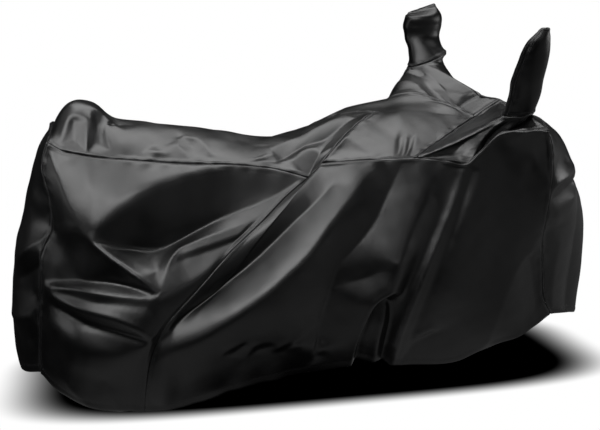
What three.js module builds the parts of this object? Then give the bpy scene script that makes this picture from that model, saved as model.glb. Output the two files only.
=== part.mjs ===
import * as THREE from 'three';

// Fitted motorcycle cover, hanging as it does over a parked machine.
// Sizes are millimetres. X points forward, Y to the left, Z up.
// The form is laid out upright, with heights from the ground, then leaned
// and moved so that the origin is the point under the top that carries it.

const CLOTH = 2.4;
const SEAM_GAP = 0.34;
const LEAN = THREE.MathUtils.degToRad(9);
const CARRIER = { x: -190, y: 0, z: 996 };
const EDGE_FADE = 0.06;
const FOLD_GAIN = 1.4;

// How many grid steps each stretch of cloth gets.
const STEPS = {
  seat: 22, notch: 2, tank: 14, bar: 13, down: 22, across: 10, half: 5, ridge: 1, cone: 5, pocket: 9,
};
// A cell is split along the common run of the folds unless the other diagonal is this much closer.
const SPLIT_LEAD = 3;

// Seam rows: x, distance out from the middle plane, height.
const SEAT_SEAM = [
  [-885, 130, 1040], [-845, 140, 1018], [-808, 150, 1010], [-738, 160, 1000], [-652, 170, 994],
  [-506, 170, 979], [-325, 170, 968], [-202, 180, 951], [-118, 200, 929],
];
const NOTCH_SEAM = [[-118, 200, 929], [-95, 200, 955], [-75, 200, 976]];
const TANK_SEAM = [[-75, 200, 976], [0, 222, 986], [123, 240, 995], [213, 250, 999]];
const BAR_SEAM_RIGHT = [
  [213, 250, 999], [314, 270, 991], [363, 282, 986], [402, 286, 1022],
  [453, 300, 1081], [510, 340, 1100], [576, 380, 1110],
];
const BAR_SEAM_LEFT = [
  [213, 250, 999], [275, 275, 1004], [330, 300, 1022], [375, 330, 1060],
  [410, 360, 1098], [440, 385, 1116], [482, 392, 1122],
];
const REAR_SEAM = [
  [-885, 130, 1040], [-903, 140, 990], [-887, 168, 880], [-884, 180, 803],
  [-922, 200, 717], [-934, 218, 580], [-943, 220, 446], [-952, 220, 336],
];
const FRONT_SEAM_RIGHT = [
  [576, 380, 1110], [612, 355, 1030], [635, 332, 944], [650, 300, 820],
  [661, 272, 713], [692, 242, 590], [728, 218, 470], [768, 200, 405],
];
const FRONT_SEAM_LEFT = [
  [482, 392, 1122], [520, 366, 1035], [560, 340, 940], [604, 305, 820],
  [645, 274, 713], [688, 243, 590], [728, 218, 470], [768, 200, 405],
];
// The seam that runs down and back from the foot of the notch and parts each side in two.
const JOIN_SEAM_RIGHT = [
  [-118, 200, 929], [-190, 224, 878], [-260, 262, 825], [-375, 316, 740], [-470, 364, 655],
  [-590, 402, 530], [-622, 402, 450], [-638, 392, 352], [-645, 372, 253],
];
const JOIN_SEAM_LEFT = [
  [-118, 200, 929], [-190, 222, 878], [-260, 258, 825], [-375, 308, 740], [-470, 352, 655],
  [-590, 384, 530], [-622, 382, 450], [-638, 368, 362], [-645, 345, 275],
];
const HEM_REAR_RIGHT = [
  [-952, 220, 336], [-911, 262, 298], [-851, 315, 281], [-777, 350, 268], [-700, 366, 258],
  [-645, 372, 253],
];
const HEM_FRONT_RIGHT = [
  [-645, 372, 253], [-550, 374, 254], [-420, 366, 273], [-286, 350, 307], [-153, 332, 307],
  [23, 312, 332], [146, 310, 319], [250, 300, 302], [354, 290, 292], [405, 282, 294],
  [486, 270, 321], [560, 256, 334], [644, 240, 345], [706, 221, 372], [768, 200, 405],
];
const HEM_REAR_LEFT = [
  [-952, 220, 336], [-900, 268, 305], [-800, 318, 285], [-720, 336, 277], [-645, 345, 275],
];
const HEM_FRONT_LEFT = [
  [-645, 345, 275], [-450, 350, 284], [-250, 340, 300], [-50, 322, 312], [150, 308, 312],
  [350, 292, 306], [520, 268, 324], [660, 236, 352], [768, 200, 405],
];
// Seams that cross the middle run from the right side to the left: x, y, height.
const REAR_HEM = [
  [-952, -220, 336], [-998, -140, 300], [-1022, 0, 278], [-998, 140, 300], [-952, 220, 336],
];
const FRONT_HEM = [
  [768, -200, 405], [860, -152, 380], [935, -75, 345], [965, 0, 330],
  [935, 75, 345], [860, 152, 380], [768, 200, 405],
];
const TANK_FRONT_RIGHT = [
  [213, -250, 999], [279, -180, 1012], [353, -120, 1030], [430, -55, 1050], [498, 0, 1064],
];
const TANK_FRONT_LEFT = [
  [498, 0, 1064], [460, 30, 1086], [396, 70, 1092], [314, 120, 1104], [238, 170, 1086], [213, 250, 999],
];
const BAR_RIDGE = [[498, 0, 1064], [545, 0, 1096], [585, 0, 1122]];
const NOSE_SEAM_RIGHT = [
  [585, 0, 1122], [592, -60, 1112], [610, -120, 1108], [615, -230, 1112], [576, -380, 1110],
];
const NOSE_SEAM_LEFT = [
  [585, 0, 1122], [566, 90, 1112], [558, 170, 1106], [545, 270, 1112], [482, 392, 1122],
];

// Middle line of the top over tail, seat and tank: x, height.
const TOP_LINE = [
  [-857, 1122], [-789, 1128], [-761, 1118], [-718, 1083], [-580, 1057], [-423, 1034], [-194, 1003],
  [-94, 1015], [-28, 1050], [60, 1075], [150, 1086],
];
const TOP_ROUND = 1.7;

// How far each panel swells beyond its four seams: share of the panel, push.
const SIDE_SWELL = { rear: 62, front: 34 };
const REAR_SWELL = [[0, 0], [0.19, 36], [0.35, 70], [0.5, 52], [0.66, 34], [0.8, 18], [1, 0]];
const NOSE_SWELL = [
  [0, 0], [0.15, 98], [0.23, 110], [0.41, 132], [0.52, 130], [0.66, 98], [0.84, 48], [1, 0],
];

// Folds seen from the side. Path of x and height, height of the fold at its
// start and end, width on its upper rear flank and on its lower front flank,
// and how crisp its crest is (0 is round).
const FOLDS_RIGHT = [
  { path: [-885, 1035, -855, 950, -815, 855, -765, 775, -670, 695, -595, 630],
    h: [24, 10], w: [70, 150], crisp: 1.3 },
  { path: [-145, 915, -265, 850, -345, 840, -470, 810, -550, 775, -585, 720, -610, 650],
    h: [-10, -26], w: [120, 14], crisp: 1 },
  { path: [-775, 780, -660, 850, -570, 895, -385, 965], h: [24, 6], w: [70, 80], crisp: 0 },
  { path: [-110, 895, -255, 760, -425, 635, -585, 505], h: [-6, -24], w: [34, 80], crisp: 0 },
  { path: [135, 975, -5, 820, -135, 675, -295, 555, -460, 470, -580, 435],
    h: [14, 10], w: [110, 90], crisp: 0 },
  { path: [110, 935, 35, 725, -35, 485], h: [-16, -12], w: [70, 40], crisp: 0 },
  { path: [170, 990, 120, 875, 70, 750, 0, 680], h: [16, 10], w: [40, 60], crisp: 1 },
  { path: [235, 945, 165, 735, 110, 590], h: [16, 4], w: [60, 50], crisp: 0 },
  { path: [40, 335, 55, 460, 95, 565, 130, 575], h: [-26, -20], w: [30, 30], crisp: 1 },
  { path: [130, 575, 155, 550, 170, 485, 145, 375, 135, 325], h: [-20, -22], w: [26, 26], crisp: 1 },
  { path: [360, 985, 320, 820, 260, 675, 195, 475, 145, 320], h: [20, 16], w: [70, 40], crisp: 1.2 },
  { path: [355, 870, 295, 680, 185, 350], h: [14, 10], w: [40, 60], crisp: 0 },
  { path: [580, 1105, 570, 1005, 490, 815], h: [-22, 0], w: [60, 90], crisp: 0 },
  { path: [660, 705, 570, 645, 530, 510, 495, 360], h: [16, 16], w: [60, 90], crisp: 1 },
  { path: [-905, 675, -725, 680, -610, 645], h: [-16, -22], w: [80, 30], crisp: 1 },
  { path: [-925, 625, -755, 640, -595, 625], h: [20, 16], w: [30, 50], crisp: 1 },
  { path: [-910, 570, -760, 555, -620, 510], h: [-18, -14], w: [60, 30], crisp: 1 },
  { path: [-935, 520, -820, 520, -710, 490, -605, 485], h: [12, 14], w: [30, 120], crisp: 1 },
];
const FOLDS_LEFT = [
  { path: [-870, 1010, -790, 860, -700, 690, -640, 520], h: [18, 22], w: [80, 110], crisp: 1.2 },
  { path: [-600, 985, -640, 800, -560, 560, -600, 300], h: [-12, -18], w: [70, 70], crisp: 0 },
  { path: [-60, 940, -160, 740, -270, 520, -320, 310], h: [-10, -20], w: [50, 80], crisp: 0 },
  { path: [80, 985, -20, 790, -90, 560, -120, 310], h: [18, 22], w: [90, 60], crisp: 1 },
  { path: [210, 990, 130, 780, 60, 560, 50, 320], h: [20, 16], w: [60, 60], crisp: 1 },
  { path: [330, 1010, 300, 820, 230, 600, 190, 320], h: [18, 18], w: [60, 50], crisp: 1.2 },
  { path: [470, 1100, 470, 900, 400, 640, 340, 310], h: [-16, -14], w: [70, 70], crisp: 0 },
  { path: [600, 820, 560, 640, 500, 340], h: [14, 18], w: [60, 80], crisp: 1 },
];
// Folds of the two ends, seen along the length: path of y and height.
const FOLDS_REAR = [
  { path: [-200, 700, -90, 760, 60, 800], h: [-24, -6], w: [50, 60], crisp: 1 },
  { path: [-200, 740, -60, 860, 40, 1040], h: [16, 6], w: [60, 70], crisp: 1 },
  { path: [200, 560, 60, 620, -80, 560, -190, 590], h: [14, 16], w: [60, 60], crisp: 0 },
  { path: [-60, 540, -30, 420, -40, 290], h: [18, 22], w: [60, 60], crisp: 1 },
  { path: [120, 760, 110, 540, 130, 300], h: [-10, -20], w: [50, 60], crisp: 0 },
];
const FOLDS_NOSE = [
  { path: [-320, 990, -180, 965, 0, 950, 200, 985], h: [16, 10], w: [40, 50], crisp: 1 },
  { path: [-280, 900, -200, 760, -150, 560, -140, 380], h: [-16, -20], w: [60, 60], crisp: 0 },
  { path: [-200, 920, -110, 740, -70, 540, -60, 350], h: [10, 20], w: [60, 60], crisp: 1 },
  { path: [180, 920, 110, 720, 90, 520, 80, 350], h: [10, 20], w: [60, 60], crisp: 1 },
  { path: [280, 880, 200, 700, 160, 500, 150, 380], h: [-12, -18], w: [50, 60], crisp: 0 },
];
// Folds of the top, seen from above: path of x and y.
const FOLDS_TOP = [
  { path: [-880, -110, -800, -62, -762, -40], h: [12, 10], w: [50, 60], crisp: 1 },
  { path: [-762, -40, -700, -70, -650, -120], h: [14, 8], w: [40, 40], crisp: 1 },
  { path: [-640, -150, -560, -110, -520, -60], h: [8, 4], w: [40, 40], crisp: 1 },
  { path: [-480, -150, -430, -100, -350, -90], h: [10, 4], w: [44, 44], crisp: 1 },
  { path: [-190, -150, -100, -90, 0, -60, 90, 0, 150, 60], h: [16, 12], w: [60, 50], crisp: 1 },
  { path: [-230, -90, -130, -30, -20, 20], h: [-14, -8], w: [50, 60], crisp: 0 },
  { path: [-620, 60, -480, 110, -300, 90], h: [-8, -8], w: [60, 60], crisp: 0 },
  { path: [60, -230, 90, -140, 110, -80], h: [14, 4], w: [36, 40], crisp: 1 },
  { path: [190, -240, 190, -170, 200, -110], h: [14, 4], w: [36, 36], crisp: 1 },
  { path: [120, 200, 200, 90, 330, 30], h: [10, 6], w: [60, 60], crisp: 0 },
];

// Mirror pockets from the neck up: centre x, y, height, half width along the
// machine, half depth across it, and how much the front end of the ring rises.
const POCKET_RIGHT = [
  [518, -284, 1140, 50, 34, 6], [512, -308, 1200, 48, 36, 4], [500, -342, 1262, 43, 35, 2],
  [494, -374, 1330, 38, 29, 2], [498, -394, 1376, 29, 22, 4], [507, -402, 1401, 17, 13, 4],
  [512, -405, 1411, 7, 5, 2],
];
const POCKET_LEFT = [
  [421, 300, 1206, 68, 38, 26], [415, 322, 1244, 58, 36, 12], [407, 350, 1288, 62, 32, 4],
  [412, 362, 1328, 70, 26, 12], [411, 366, 1354, 62, 18, 14], [410, 368, 1376, 47, 7, 16],
];
const CONE_SAG = { right: 34, left: 24 };
const SAG_REACH = 300;
const SAG_WAY = { inward: 0.8, down: 0.6 };

const smooth = (t) => {
  const s = THREE.MathUtils.clamp(t, 0, 1);
  return s * s * (3 - 2 * s);
};

// Smooth curve through the rows, t from 0 to 1 by length along the chords.
function curve(points) {
  const at = [0];
  for (let i = 1; i < points.length; i += 1) at.push(at[i - 1] + points[i].distanceTo(points[i - 1]));
  const step = (i) => at[i + 1] - at[i];
  const slope = (i) => points[i + 1].clone().sub(points[i]).divideScalar(step(i));
  const tangents = points.map((point, i) => {
    if (i === 0) return slope(0);
    if (i === points.length - 1) return slope(i - 1);
    const before = slope(i - 1).multiplyScalar(step(i));
    const after = slope(i).multiplyScalar(step(i - 1));
    return before.add(after).divideScalar(step(i - 1) + step(i));
  });
  return (t) => {
    const along = THREE.MathUtils.clamp(t, 0, 1) * at[at.length - 1];
    let i = 0;
    while (i < points.length - 2 && along > at[i + 1]) i += 1;
    const s = (along - at[i]) / step(i);
    const [s2, s3] = [s * s, s * s * s];
    const blend = [2 * s3 - 3 * s2 + 1, s3 - 2 * s2 + s, 3 * s2 - 2 * s3, s3 - s2];
    return points[i].clone().multiplyScalar(blend[0])
      .addScaledVector(tangents[i], blend[1] * step(i))
      .addScaledVector(points[i + 1], blend[2])
      .addScaledVector(tangents[i + 1], blend[3] * step(i));
  };
}
const rowCurve = (rows) => curve(rows.map((row) => new THREE.Vector3(...row)));
const sideCurve = (rows, side) => rowCurve(rows.map(([x, out, z]) => [x, side * out, z]));
const lineCurve = (rows) => rowCurve(rows.map(([x, z]) => [x, 0, z]));
const reversed = (line) => (t) => line(1 - t);

// Several curves end to end, each with its own share of the steps.
function joined(parts) {
  const total = parts.reduce((sum, [, steps]) => sum + steps, 0);
  return (t) => {
    let left = THREE.MathUtils.clamp(t, 0, 1) * total;
    for (const [line, steps] of parts) {
      if (left <= steps + 1e-9) return line(left / steps);
      left -= steps;
    }
    return parts[parts.length - 1][0](1);
  };
}

// Value of a table of share and amount at one share.
function amount(rows, share) {
  for (let i = 1; i < rows.length; i += 1) {
    const [a, b] = [rows[i - 1], rows[i]];
    if (share <= b[0]) return a[1] + (b[1] - a[1]) * (share - a[0]) / (b[0] - a[0]);
  }
  return rows[rows.length - 1][1];
}

// Sheet between four seams: top and bottom run along u, first and last along v.
function between(top, bottom, first, last) {
  const corner = [top(0), top(1), bottom(0), bottom(1)];
  return (u, v) => new THREE.Vector3()
    .addScaledVector(top(u), 1 - v)
    .addScaledVector(bottom(u), v)
    .addScaledVector(first(v), 1 - u)
    .addScaledVector(last(v), u)
    .addScaledVector(corner[0], -(1 - u) * (1 - v))
    .addScaledVector(corner[1], -u * (1 - v))
    .addScaledVector(corner[2], -(1 - u) * v)
    .addScaledVector(corner[3], -u * v);
}

// Arched sheet over a right rail, a middle rail and a left rail.
function arched(right, middle, left) {
  return (u, v) => {
    const w = 2 * v - 1;
    const rail = w < 0 ? right(u) : left(u);
    const crown = middle(u);
    const drop = Math.abs(w) ** TOP_ROUND;
    return new THREE.Vector3(
      crown.x + (rail.x - crown.x) * Math.abs(w),
      crown.y + (rail.y - crown.y) * Math.abs(w),
      crown.z + (rail.z - crown.z) * drop,
    );
  };
}

// Height of one fold over the point (a, b) of the view it is drawn in.
function foldHeight(fold, a, b) {
  const line = fold.line;
  const last = line.length - 1;
  let best = Infinity;
  let share = 0;
  let turn = 1;
  for (let i = 0; i < last; i += 1) {
    const [p, q] = [line[i], line[i + 1]];
    const [dx, dy] = [q.x - p.x, q.y - p.y];
    const w = THREE.MathUtils.clamp(((a - p.x) * dx + (b - p.y) * dy) / (dx * dx + dy * dy), 0, 1);
    const [ex, ey] = [a - p.x - w * dx, b - p.y - w * dy];
    const far = Math.hypot(ex, ey);
    if (far < best) {
      best = far;
      share = (i + w) / last;
      turn = Math.sign(dx * ey - dy * ex) || 1;
    }
  }
  const width = turn === fold.upper ? fold.w[0] : fold.w[1];
  const s = Math.min(1, best / width);
  const shape = fold.crisp === 0 ? (1 - s * s) ** 2 : (1 - s) ** fold.crisp;
  return (fold.h[0] + (fold.h[1] - fold.h[0]) * share) * shape;
}
const FOLD_STEPS = 24;
const NARROWEST_FOLD = 52;
const UPPER_REAR = { x: -0.6, y: 0.8 };
function foldTable(rows) {
  return rows.map((row) => {
    const points = [];
    for (let i = 0; i < row.path.length; i += 2) points.push([row.path[i], row.path[i + 1], 0]);
    const path = rowCurve(points);
    const line = Array.from({ length: FOLD_STEPS + 1 }, (_, i) => path(i / FOLD_STEPS));
    const way = line[FOLD_STEPS].clone().sub(line[0]);
    const w = row.w.map((width) => Math.max(width, NARROWEST_FOLD));
    return { ...row, w, line, upper: Math.sign(way.x * UPPER_REAR.y - way.y * UPPER_REAR.x) };
  });
}
const VIEWS = {
  side: (p) => [p.x, p.z],
  end: (p) => [p.y, p.z],
  top: (p) => [p.x, p.y],
};

// Cloth surface with its folds raised square to it, fading out at the seams.
function folded(base, rows, view, open = {}) {
  const folds = foldTable(rows);
  const e = 0.002;
  return (u, v) => {
    const point = base(u, v);
    const du = base(Math.min(1, u + e), v).sub(base(Math.max(0, u - e), v));
    const dv = base(u, Math.min(1, v + e)).sub(base(u, Math.max(0, v - e)));
    const normal = du.cross(dv).normalize();
    const [a, b] = VIEWS[view](point);
    let height = FOLD_GAIN * folds.reduce((sum, fold) => sum + foldHeight(fold, a, b), 0);
    height *= smooth(u / EDGE_FADE) * smooth((1 - u) / EDGE_FADE) * smooth(v / EDGE_FADE);
    if (!open.bottom) height *= smooth((1 - v) / EDGE_FADE);
    return point.addScaledVector(normal, height * (open.flip ? -1 : 1));
  };
}

// Upright form to the leaning frame whose origin is the carrier point.
const LEAN_MATRIX = new THREE.Matrix4().makeRotationX(LEAN);
const ORIGIN = new THREE.Vector3(CARRIER.x, CARRIER.y, CARRIER.z).applyMatrix4(LEAN_MATRIX);
const placed = (point) => point.clone().applyMatrix4(LEAN_MATRIX).sub(ORIGIN);

// A panel is one or more grids that share their edges.
const panels = new Map();
const keyOf = (p) => `${Math.round(p.x * 20)},${Math.round(p.y * 20)},${Math.round(p.z * 20)}`;
function panel(name) {
  if (!panels.has(name)) panels.set(name, { points: [], keys: [], index: new Map(), faces: [] });
  return panels.get(name);
}
function addPoint(target, point) {
  const key = keyOf(point);
  if (!target.index.has(key)) {
    target.index.set(key, target.points.length);
    target.points.push(point);
    target.keys.push(key);
  }
  return target.index.get(key);
}
// Grid of the surface, each cell split in two along a diagonal.
function addGrid(name, surface, across, down, flip = false) {
  const target = panel(name);
  const id = (i, j) => addPoint(target, placed(surface(i / across, j / down)));
  for (let i = 0; i < across; i += 1) {
    for (let j = 0; j < down; j += 1) {
      const cell = [id(i, j), id(i + 1, j), id(i + 1, j + 1), id(i, j + 1)];
      const corners = cell.map((n) => target.points[n]);
      const middle = placed(surface((i + 0.5) / across, (j + 0.5) / down));
      const off = (p, q) => p.clone().add(q).multiplyScalar(0.5).distanceTo(middle);
      const [a, b, c, d] = cell;
      const split = off(corners[0], corners[2]) + SPLIT_LEAD <= off(corners[1], corners[3])
        ? [[a, b, c], [a, c, d]] : [[a, b, d], [b, c, d]];
      for (const face of split) {
        if (new Set(face).size < 3) continue;
        target.faces.push(flip ? [face[0], face[2], face[1]] : face);
      }
    }
  }
}
function addFan(name, ring, centre, flip = false) {
  const target = panel(name);
  const middle = addPoint(target, placed(centre));
  const ids = ring.map((point) => addPoint(target, placed(point)));
  ids.forEach((a, i) => {
    const b = ids[(i + 1) % ids.length];
    if (a !== b) target.faces.push(flip ? [a, middle, b] : [a, b, middle]);
  });
}

// Side panels. On each side one lies behind the join seam and one in front of it.
const alongRight = [
  [sideCurve(SEAT_SEAM, -1), STEPS.seat], [sideCurve(NOTCH_SEAM, -1), STEPS.notch],
  [sideCurve(TANK_SEAM, -1), STEPS.tank], [sideCurve(BAR_SEAM_RIGHT, -1), STEPS.bar],
];
const alongLeft = [
  [sideCurve(SEAT_SEAM, 1), STEPS.seat], [sideCurve(NOTCH_SEAM, 1), STEPS.notch],
  [sideCurve(TANK_SEAM, 1), STEPS.tank], [sideCurve(BAR_SEAM_LEFT, 1), STEPS.bar],
];
const FRONT_STEPS = STEPS.notch + STEPS.tank + STEPS.bar;
const rearRight = sideCurve(REAR_SEAM, -1);
const rearLeft = sideCurve(REAR_SEAM, 1);
const frontRight = sideCurve(FRONT_SEAM_RIGHT, -1);
const frontLeft = sideCurve(FRONT_SEAM_LEFT, 1);
function sideSurface(top, hem, first, last, push) {
  const flat = between(top, hem, first, last);
  return (u, v) => {
    const point = flat(u, v);
    point.y += push * Math.sin(Math.PI * u) ** 0.8 * Math.sin(Math.PI * v ** 0.85);
    return point;
  };
}
function sidePanels(name, side, along, join, hems, ends, folds) {
  const cut = { bottom: true, flip: side < 0 };
  const behind = sideSurface(along[0][0], hems[0], ends[0], join, side * SIDE_SWELL.rear);
  addGrid(`side_rear_${name}`, folded(behind, folds, 'side', cut), STEPS.seat, STEPS.down, side < 0);
  const ahead = sideSurface(joined(along.slice(1)), hems[1], join, ends[1], side * SIDE_SWELL.front);
  addGrid(`side_front_${name}`, folded(ahead, folds, 'side', cut), FRONT_STEPS, STEPS.down, side < 0);
}
sidePanels('right', -1, alongRight, sideCurve(JOIN_SEAM_RIGHT, -1),
  [sideCurve(HEM_REAR_RIGHT, -1), sideCurve(HEM_FRONT_RIGHT, -1)], [rearRight, frontRight], FOLDS_RIGHT);
sidePanels('left', 1, alongLeft, sideCurve(JOIN_SEAM_LEFT, 1),
  [sideCurve(HEM_REAR_LEFT, 1), sideCurve(HEM_FRONT_LEFT, 1)], [rearLeft, frontLeft], FOLDS_LEFT);

// Seat and tank tops.
const seatSteps = STEPS.seat + STEPS.notch;
const seat = arched(joined(alongRight.slice(0, 2)), lineCurve(TOP_LINE), joined(alongLeft.slice(0, 2)));
const saddle = (v) => seat(1, v);
const tail = (v) => seat(0, v);
addGrid('seat_top', folded(seat, FOLDS_TOP, 'top'), seatSteps, STEPS.across);
const tankFront = joined([[rowCurve(TANK_FRONT_RIGHT), STEPS.half], [rowCurve(TANK_FRONT_LEFT), STEPS.half]]);
const tank = between(alongRight[2][0], alongLeft[2][0], saddle, tankFront);
addGrid('tank_top', folded(tank, FOLDS_TOP, 'top'), STEPS.tank, STEPS.across);

// Rear and nose panels, u from the right seam to the left one.
const crossing = (u) => Math.sin(Math.PI * u);
const rearFlat = between(tail, rowCurve(REAR_HEM), rearRight, rearLeft);
const rear = (u, v) => {
  const point = rearFlat(u, v);
  point.x -= amount(REAR_SWELL, v) * crossing(u);
  return point;
};
addGrid('rear_panel', folded(rear, FOLDS_REAR, 'end', { bottom: true }), STEPS.across, STEPS.down);
const noseSeam = joined([
  [reversed(rowCurve(NOSE_SEAM_RIGHT)), STEPS.half], [rowCurve(NOSE_SEAM_LEFT), STEPS.half],
]);
const noseFlat = between(noseSeam, rowCurve(FRONT_HEM), frontRight, frontLeft);
const nose = (u, v) => {
  const point = noseFlat(u, v);
  point.x += amount(NOSE_SWELL, v) * crossing(u) ** 0.8;
  return point;
};
const noseCloth = folded(nose, FOLDS_NOSE, 'end', { bottom: true, flip: true });
addGrid('nose_panel', noseCloth, STEPS.across, STEPS.down, true);

// One ring of a mirror pocket. Turn runs from 0 to 1, starting at the rear.
function ringPoint([x, y, z, halfWidth, halfDepth, rise], turn, way) {
  const angle = 2 * Math.PI * turn;
  const along = -Math.cos(angle);
  return new THREE.Vector3(x + along * halfWidth, y + way * Math.sin(angle) * halfDepth, z + along * rise);
}
// Handlebar cover halves with a cone up to each pocket, and the pockets.
function barHalf(side, parts, rows, start, sag) {
  const outline = joined(parts);
  const around = parts.reduce((sum, [, steps]) => sum + steps, 0);
  const way = side;
  const neck = (t) => ringPoint(rows[0], start + t, way);
  const cover = (t, s) => {
    const edge = outline(t);
    const ring = neck(t);
    const point = ring.clone().lerp(edge, s);
    const depth = Math.sin(Math.PI * s) * sag * smooth(edge.distanceTo(ring) / SAG_REACH);
    point.y -= way * depth * SAG_WAY.inward;
    point.z -= depth * SAG_WAY.down;
    return point;
  };
  const name = side < 0 ? 'right' : 'left';
  addGrid(`handlebar_cover_${name}`, cover, around, STEPS.cone, side < 0);
  const count = rows.length - 1;
  const columns = rows[0].map((_, c) => rowCurve(rows.map((row, i) => [i * 100, row[c], 0])));
  const section = (s) => columns.map((line) => line(s).y);
  const pocket = (t, s) => ringPoint(section(s), start + t, way);
  addGrid(`mirror_pocket_${name}`, pocket, around, STEPS.pocket, side > 0);
  const topRing = Array.from({ length: around }, (_, i) => pocket(i / around, 1));
  const [x, y, z] = rows[count];
  addFan(`mirror_pocket_${name}`, topRing, new THREE.Vector3(x, y, z + 2), side > 0);
}
barHalf(-1, [
  [sideCurve(BAR_SEAM_RIGHT, -1), STEPS.bar], [rowCurve([...NOSE_SEAM_RIGHT].reverse()), STEPS.half],
  [rowCurve([...BAR_RIDGE].reverse()), STEPS.ridge], [rowCurve([...TANK_FRONT_RIGHT].reverse()), STEPS.half],
], POCKET_RIGHT, 0.06, CONE_SAG.right);
barHalf(1, [
  [sideCurve(BAR_SEAM_LEFT, 1), STEPS.bar], [rowCurve([...NOSE_SEAM_LEFT].reverse()), STEPS.half],
  [rowCurve([...BAR_RIDGE].reverse()), STEPS.ridge], [rowCurve(TANK_FRONT_LEFT), STEPS.half],
], POCKET_LEFT, 0.06, CONE_SAG.left);

// Normals: one per point of each panel, and one per seam point for all the panels that meet there.
const seamNormals = new Map();
for (const target of panels.values()) {
  target.normals = target.points.map(() => new THREE.Vector3());
  for (const [a, b, c] of target.faces) {
    const [p, q, r] = [target.points[a], target.points[b], target.points[c]];
    const face = q.clone().sub(p).cross(r.clone().sub(p));
    for (const n of [a, b, c]) target.normals[n].add(face);
  }
  target.normals.forEach((normal, n) => {
    normal.normalize();
    const key = target.keys[n];
    if (!seamNormals.has(key)) seamNormals.set(key, []);
    seamNormals.get(key).push(normal);
  });
}
function seamData(key) {
  const list = seamNormals.get(key);
  const normal = list.reduce((sum, one) => sum.add(one), new THREE.Vector3()).normalize();
  const cosine = Math.max(0.5, Math.min(...list.map((one) => one.dot(normal))));
  return { normal, cosine, shared: list.length > 1 };
}

// Closed solid of a panel: outer face, inner face and the cut edges.
function clothSolid(target) {
  const edges = new Map();
  for (const face of target.faces) {
    face.forEach((a, i) => {
      const b = face[(i + 1) % 3];
      if (edges.has(`${b}_${a}`)) edges.delete(`${b}_${a}`);
      else edges.set(`${a}_${b}`, [a, b]);
    });
  }
  const border = [...edges.values()];
  const inward = new Map();
  for (const [a, b] of border) {
    const along = target.points[b].clone().sub(target.points[a]).normalize();
    for (const n of [a, b]) {
      const way = target.normals[n].clone().cross(along).normalize();
      if (!inward.has(n)) inward.set(n, []);
      inward.get(n).push(way);
    }
  }
  const outer = target.points.map((point) => point.clone());
  const inner = target.points.map((point, n) => point.clone().addScaledVector(target.normals[n], -CLOTH));
  for (const [n, ways] of inward) {
    const { normal, cosine, shared } = seamData(target.keys[n]);
    inner[n] = target.points[n].clone().addScaledVector(normal, -CLOTH / cosine);
    if (!shared) continue;
    const pull = ways.reduce((sum, way) => sum.add(way), new THREE.Vector3()).normalize();
    const square = Math.max(0.5, Math.min(...ways.map((way) => way.dot(pull))));
    pull.multiplyScalar(SEAM_GAP / 2 / square / cosine);
    outer[n].add(pull);
    inner[n].add(pull);
  }
  const count = outer.length;
  const faces = [];
  for (const [a, b, c] of target.faces) {
    faces.push([a, b, c], [count + a, count + c, count + b]);
  }
  for (const [a, b] of border) {
    const swap = target.keys[a] < target.keys[b];
    if (swap) faces.push([a, count + a, b], [count + a, count + b, b]);
    else faces.push([a, count + a, count + b], [a, count + b, b]);
  }
  const geometry = new THREE.BufferGeometry();
  const flat = [...outer, ...inner].flatMap((p) => [p.x, p.y, p.z]);
  geometry.setAttribute('position', new THREE.Float32BufferAttribute(flat, 3));
  geometry.setIndex(faces.flat());
  geometry.computeVertexNormals();
  return geometry;
}

const COATED_CLOTH = { color: 0x24262a, roughness: 0.42, metalness: 0 };
const POCKET_CLOTH = { color: 0x1d1f22, roughness: 0.45, metalness: 0 };
const cover = new THREE.Group();
cover.name = 'motorcycle_cover';
for (const [name, target] of panels) {
  const look = name.startsWith('mirror_pocket') ? POCKET_CLOTH : COATED_CLOTH;
  const mesh = new THREE.Mesh(clothSolid(target), new THREE.MeshStandardMaterial(look));
  mesh.name = name;
  cover.add(mesh);
}

export default cover;
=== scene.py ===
import bpy
import bmesh
import math
import numpy as np
from mathutils import Matrix, Vector
from mathutils.geometry import delaunay_2d_cdt


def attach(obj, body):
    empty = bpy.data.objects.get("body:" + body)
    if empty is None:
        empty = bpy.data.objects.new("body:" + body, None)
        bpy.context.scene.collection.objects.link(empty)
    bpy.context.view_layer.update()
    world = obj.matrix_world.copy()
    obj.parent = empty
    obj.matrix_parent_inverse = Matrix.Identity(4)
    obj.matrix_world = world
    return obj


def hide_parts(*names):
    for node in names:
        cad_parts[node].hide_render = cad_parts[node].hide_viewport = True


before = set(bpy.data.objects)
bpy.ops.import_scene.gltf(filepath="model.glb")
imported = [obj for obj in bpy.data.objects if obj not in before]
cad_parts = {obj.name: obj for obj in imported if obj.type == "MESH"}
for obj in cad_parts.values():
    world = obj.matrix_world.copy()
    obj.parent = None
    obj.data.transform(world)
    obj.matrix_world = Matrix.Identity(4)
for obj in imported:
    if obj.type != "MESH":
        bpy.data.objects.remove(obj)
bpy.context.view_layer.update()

# Sizes are millimetres in the upright form: x forward, y left, heights from the ground.
MM = 0.001
LEAN = math.radians(9)
CARRIER = np.array([-190.0, 0.0, 996.0])
GROUND = -CARRIER[2] * math.cos(LEAN) * MM
CLOTH = 1.0 * MM
FINE = 1.0

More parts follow.
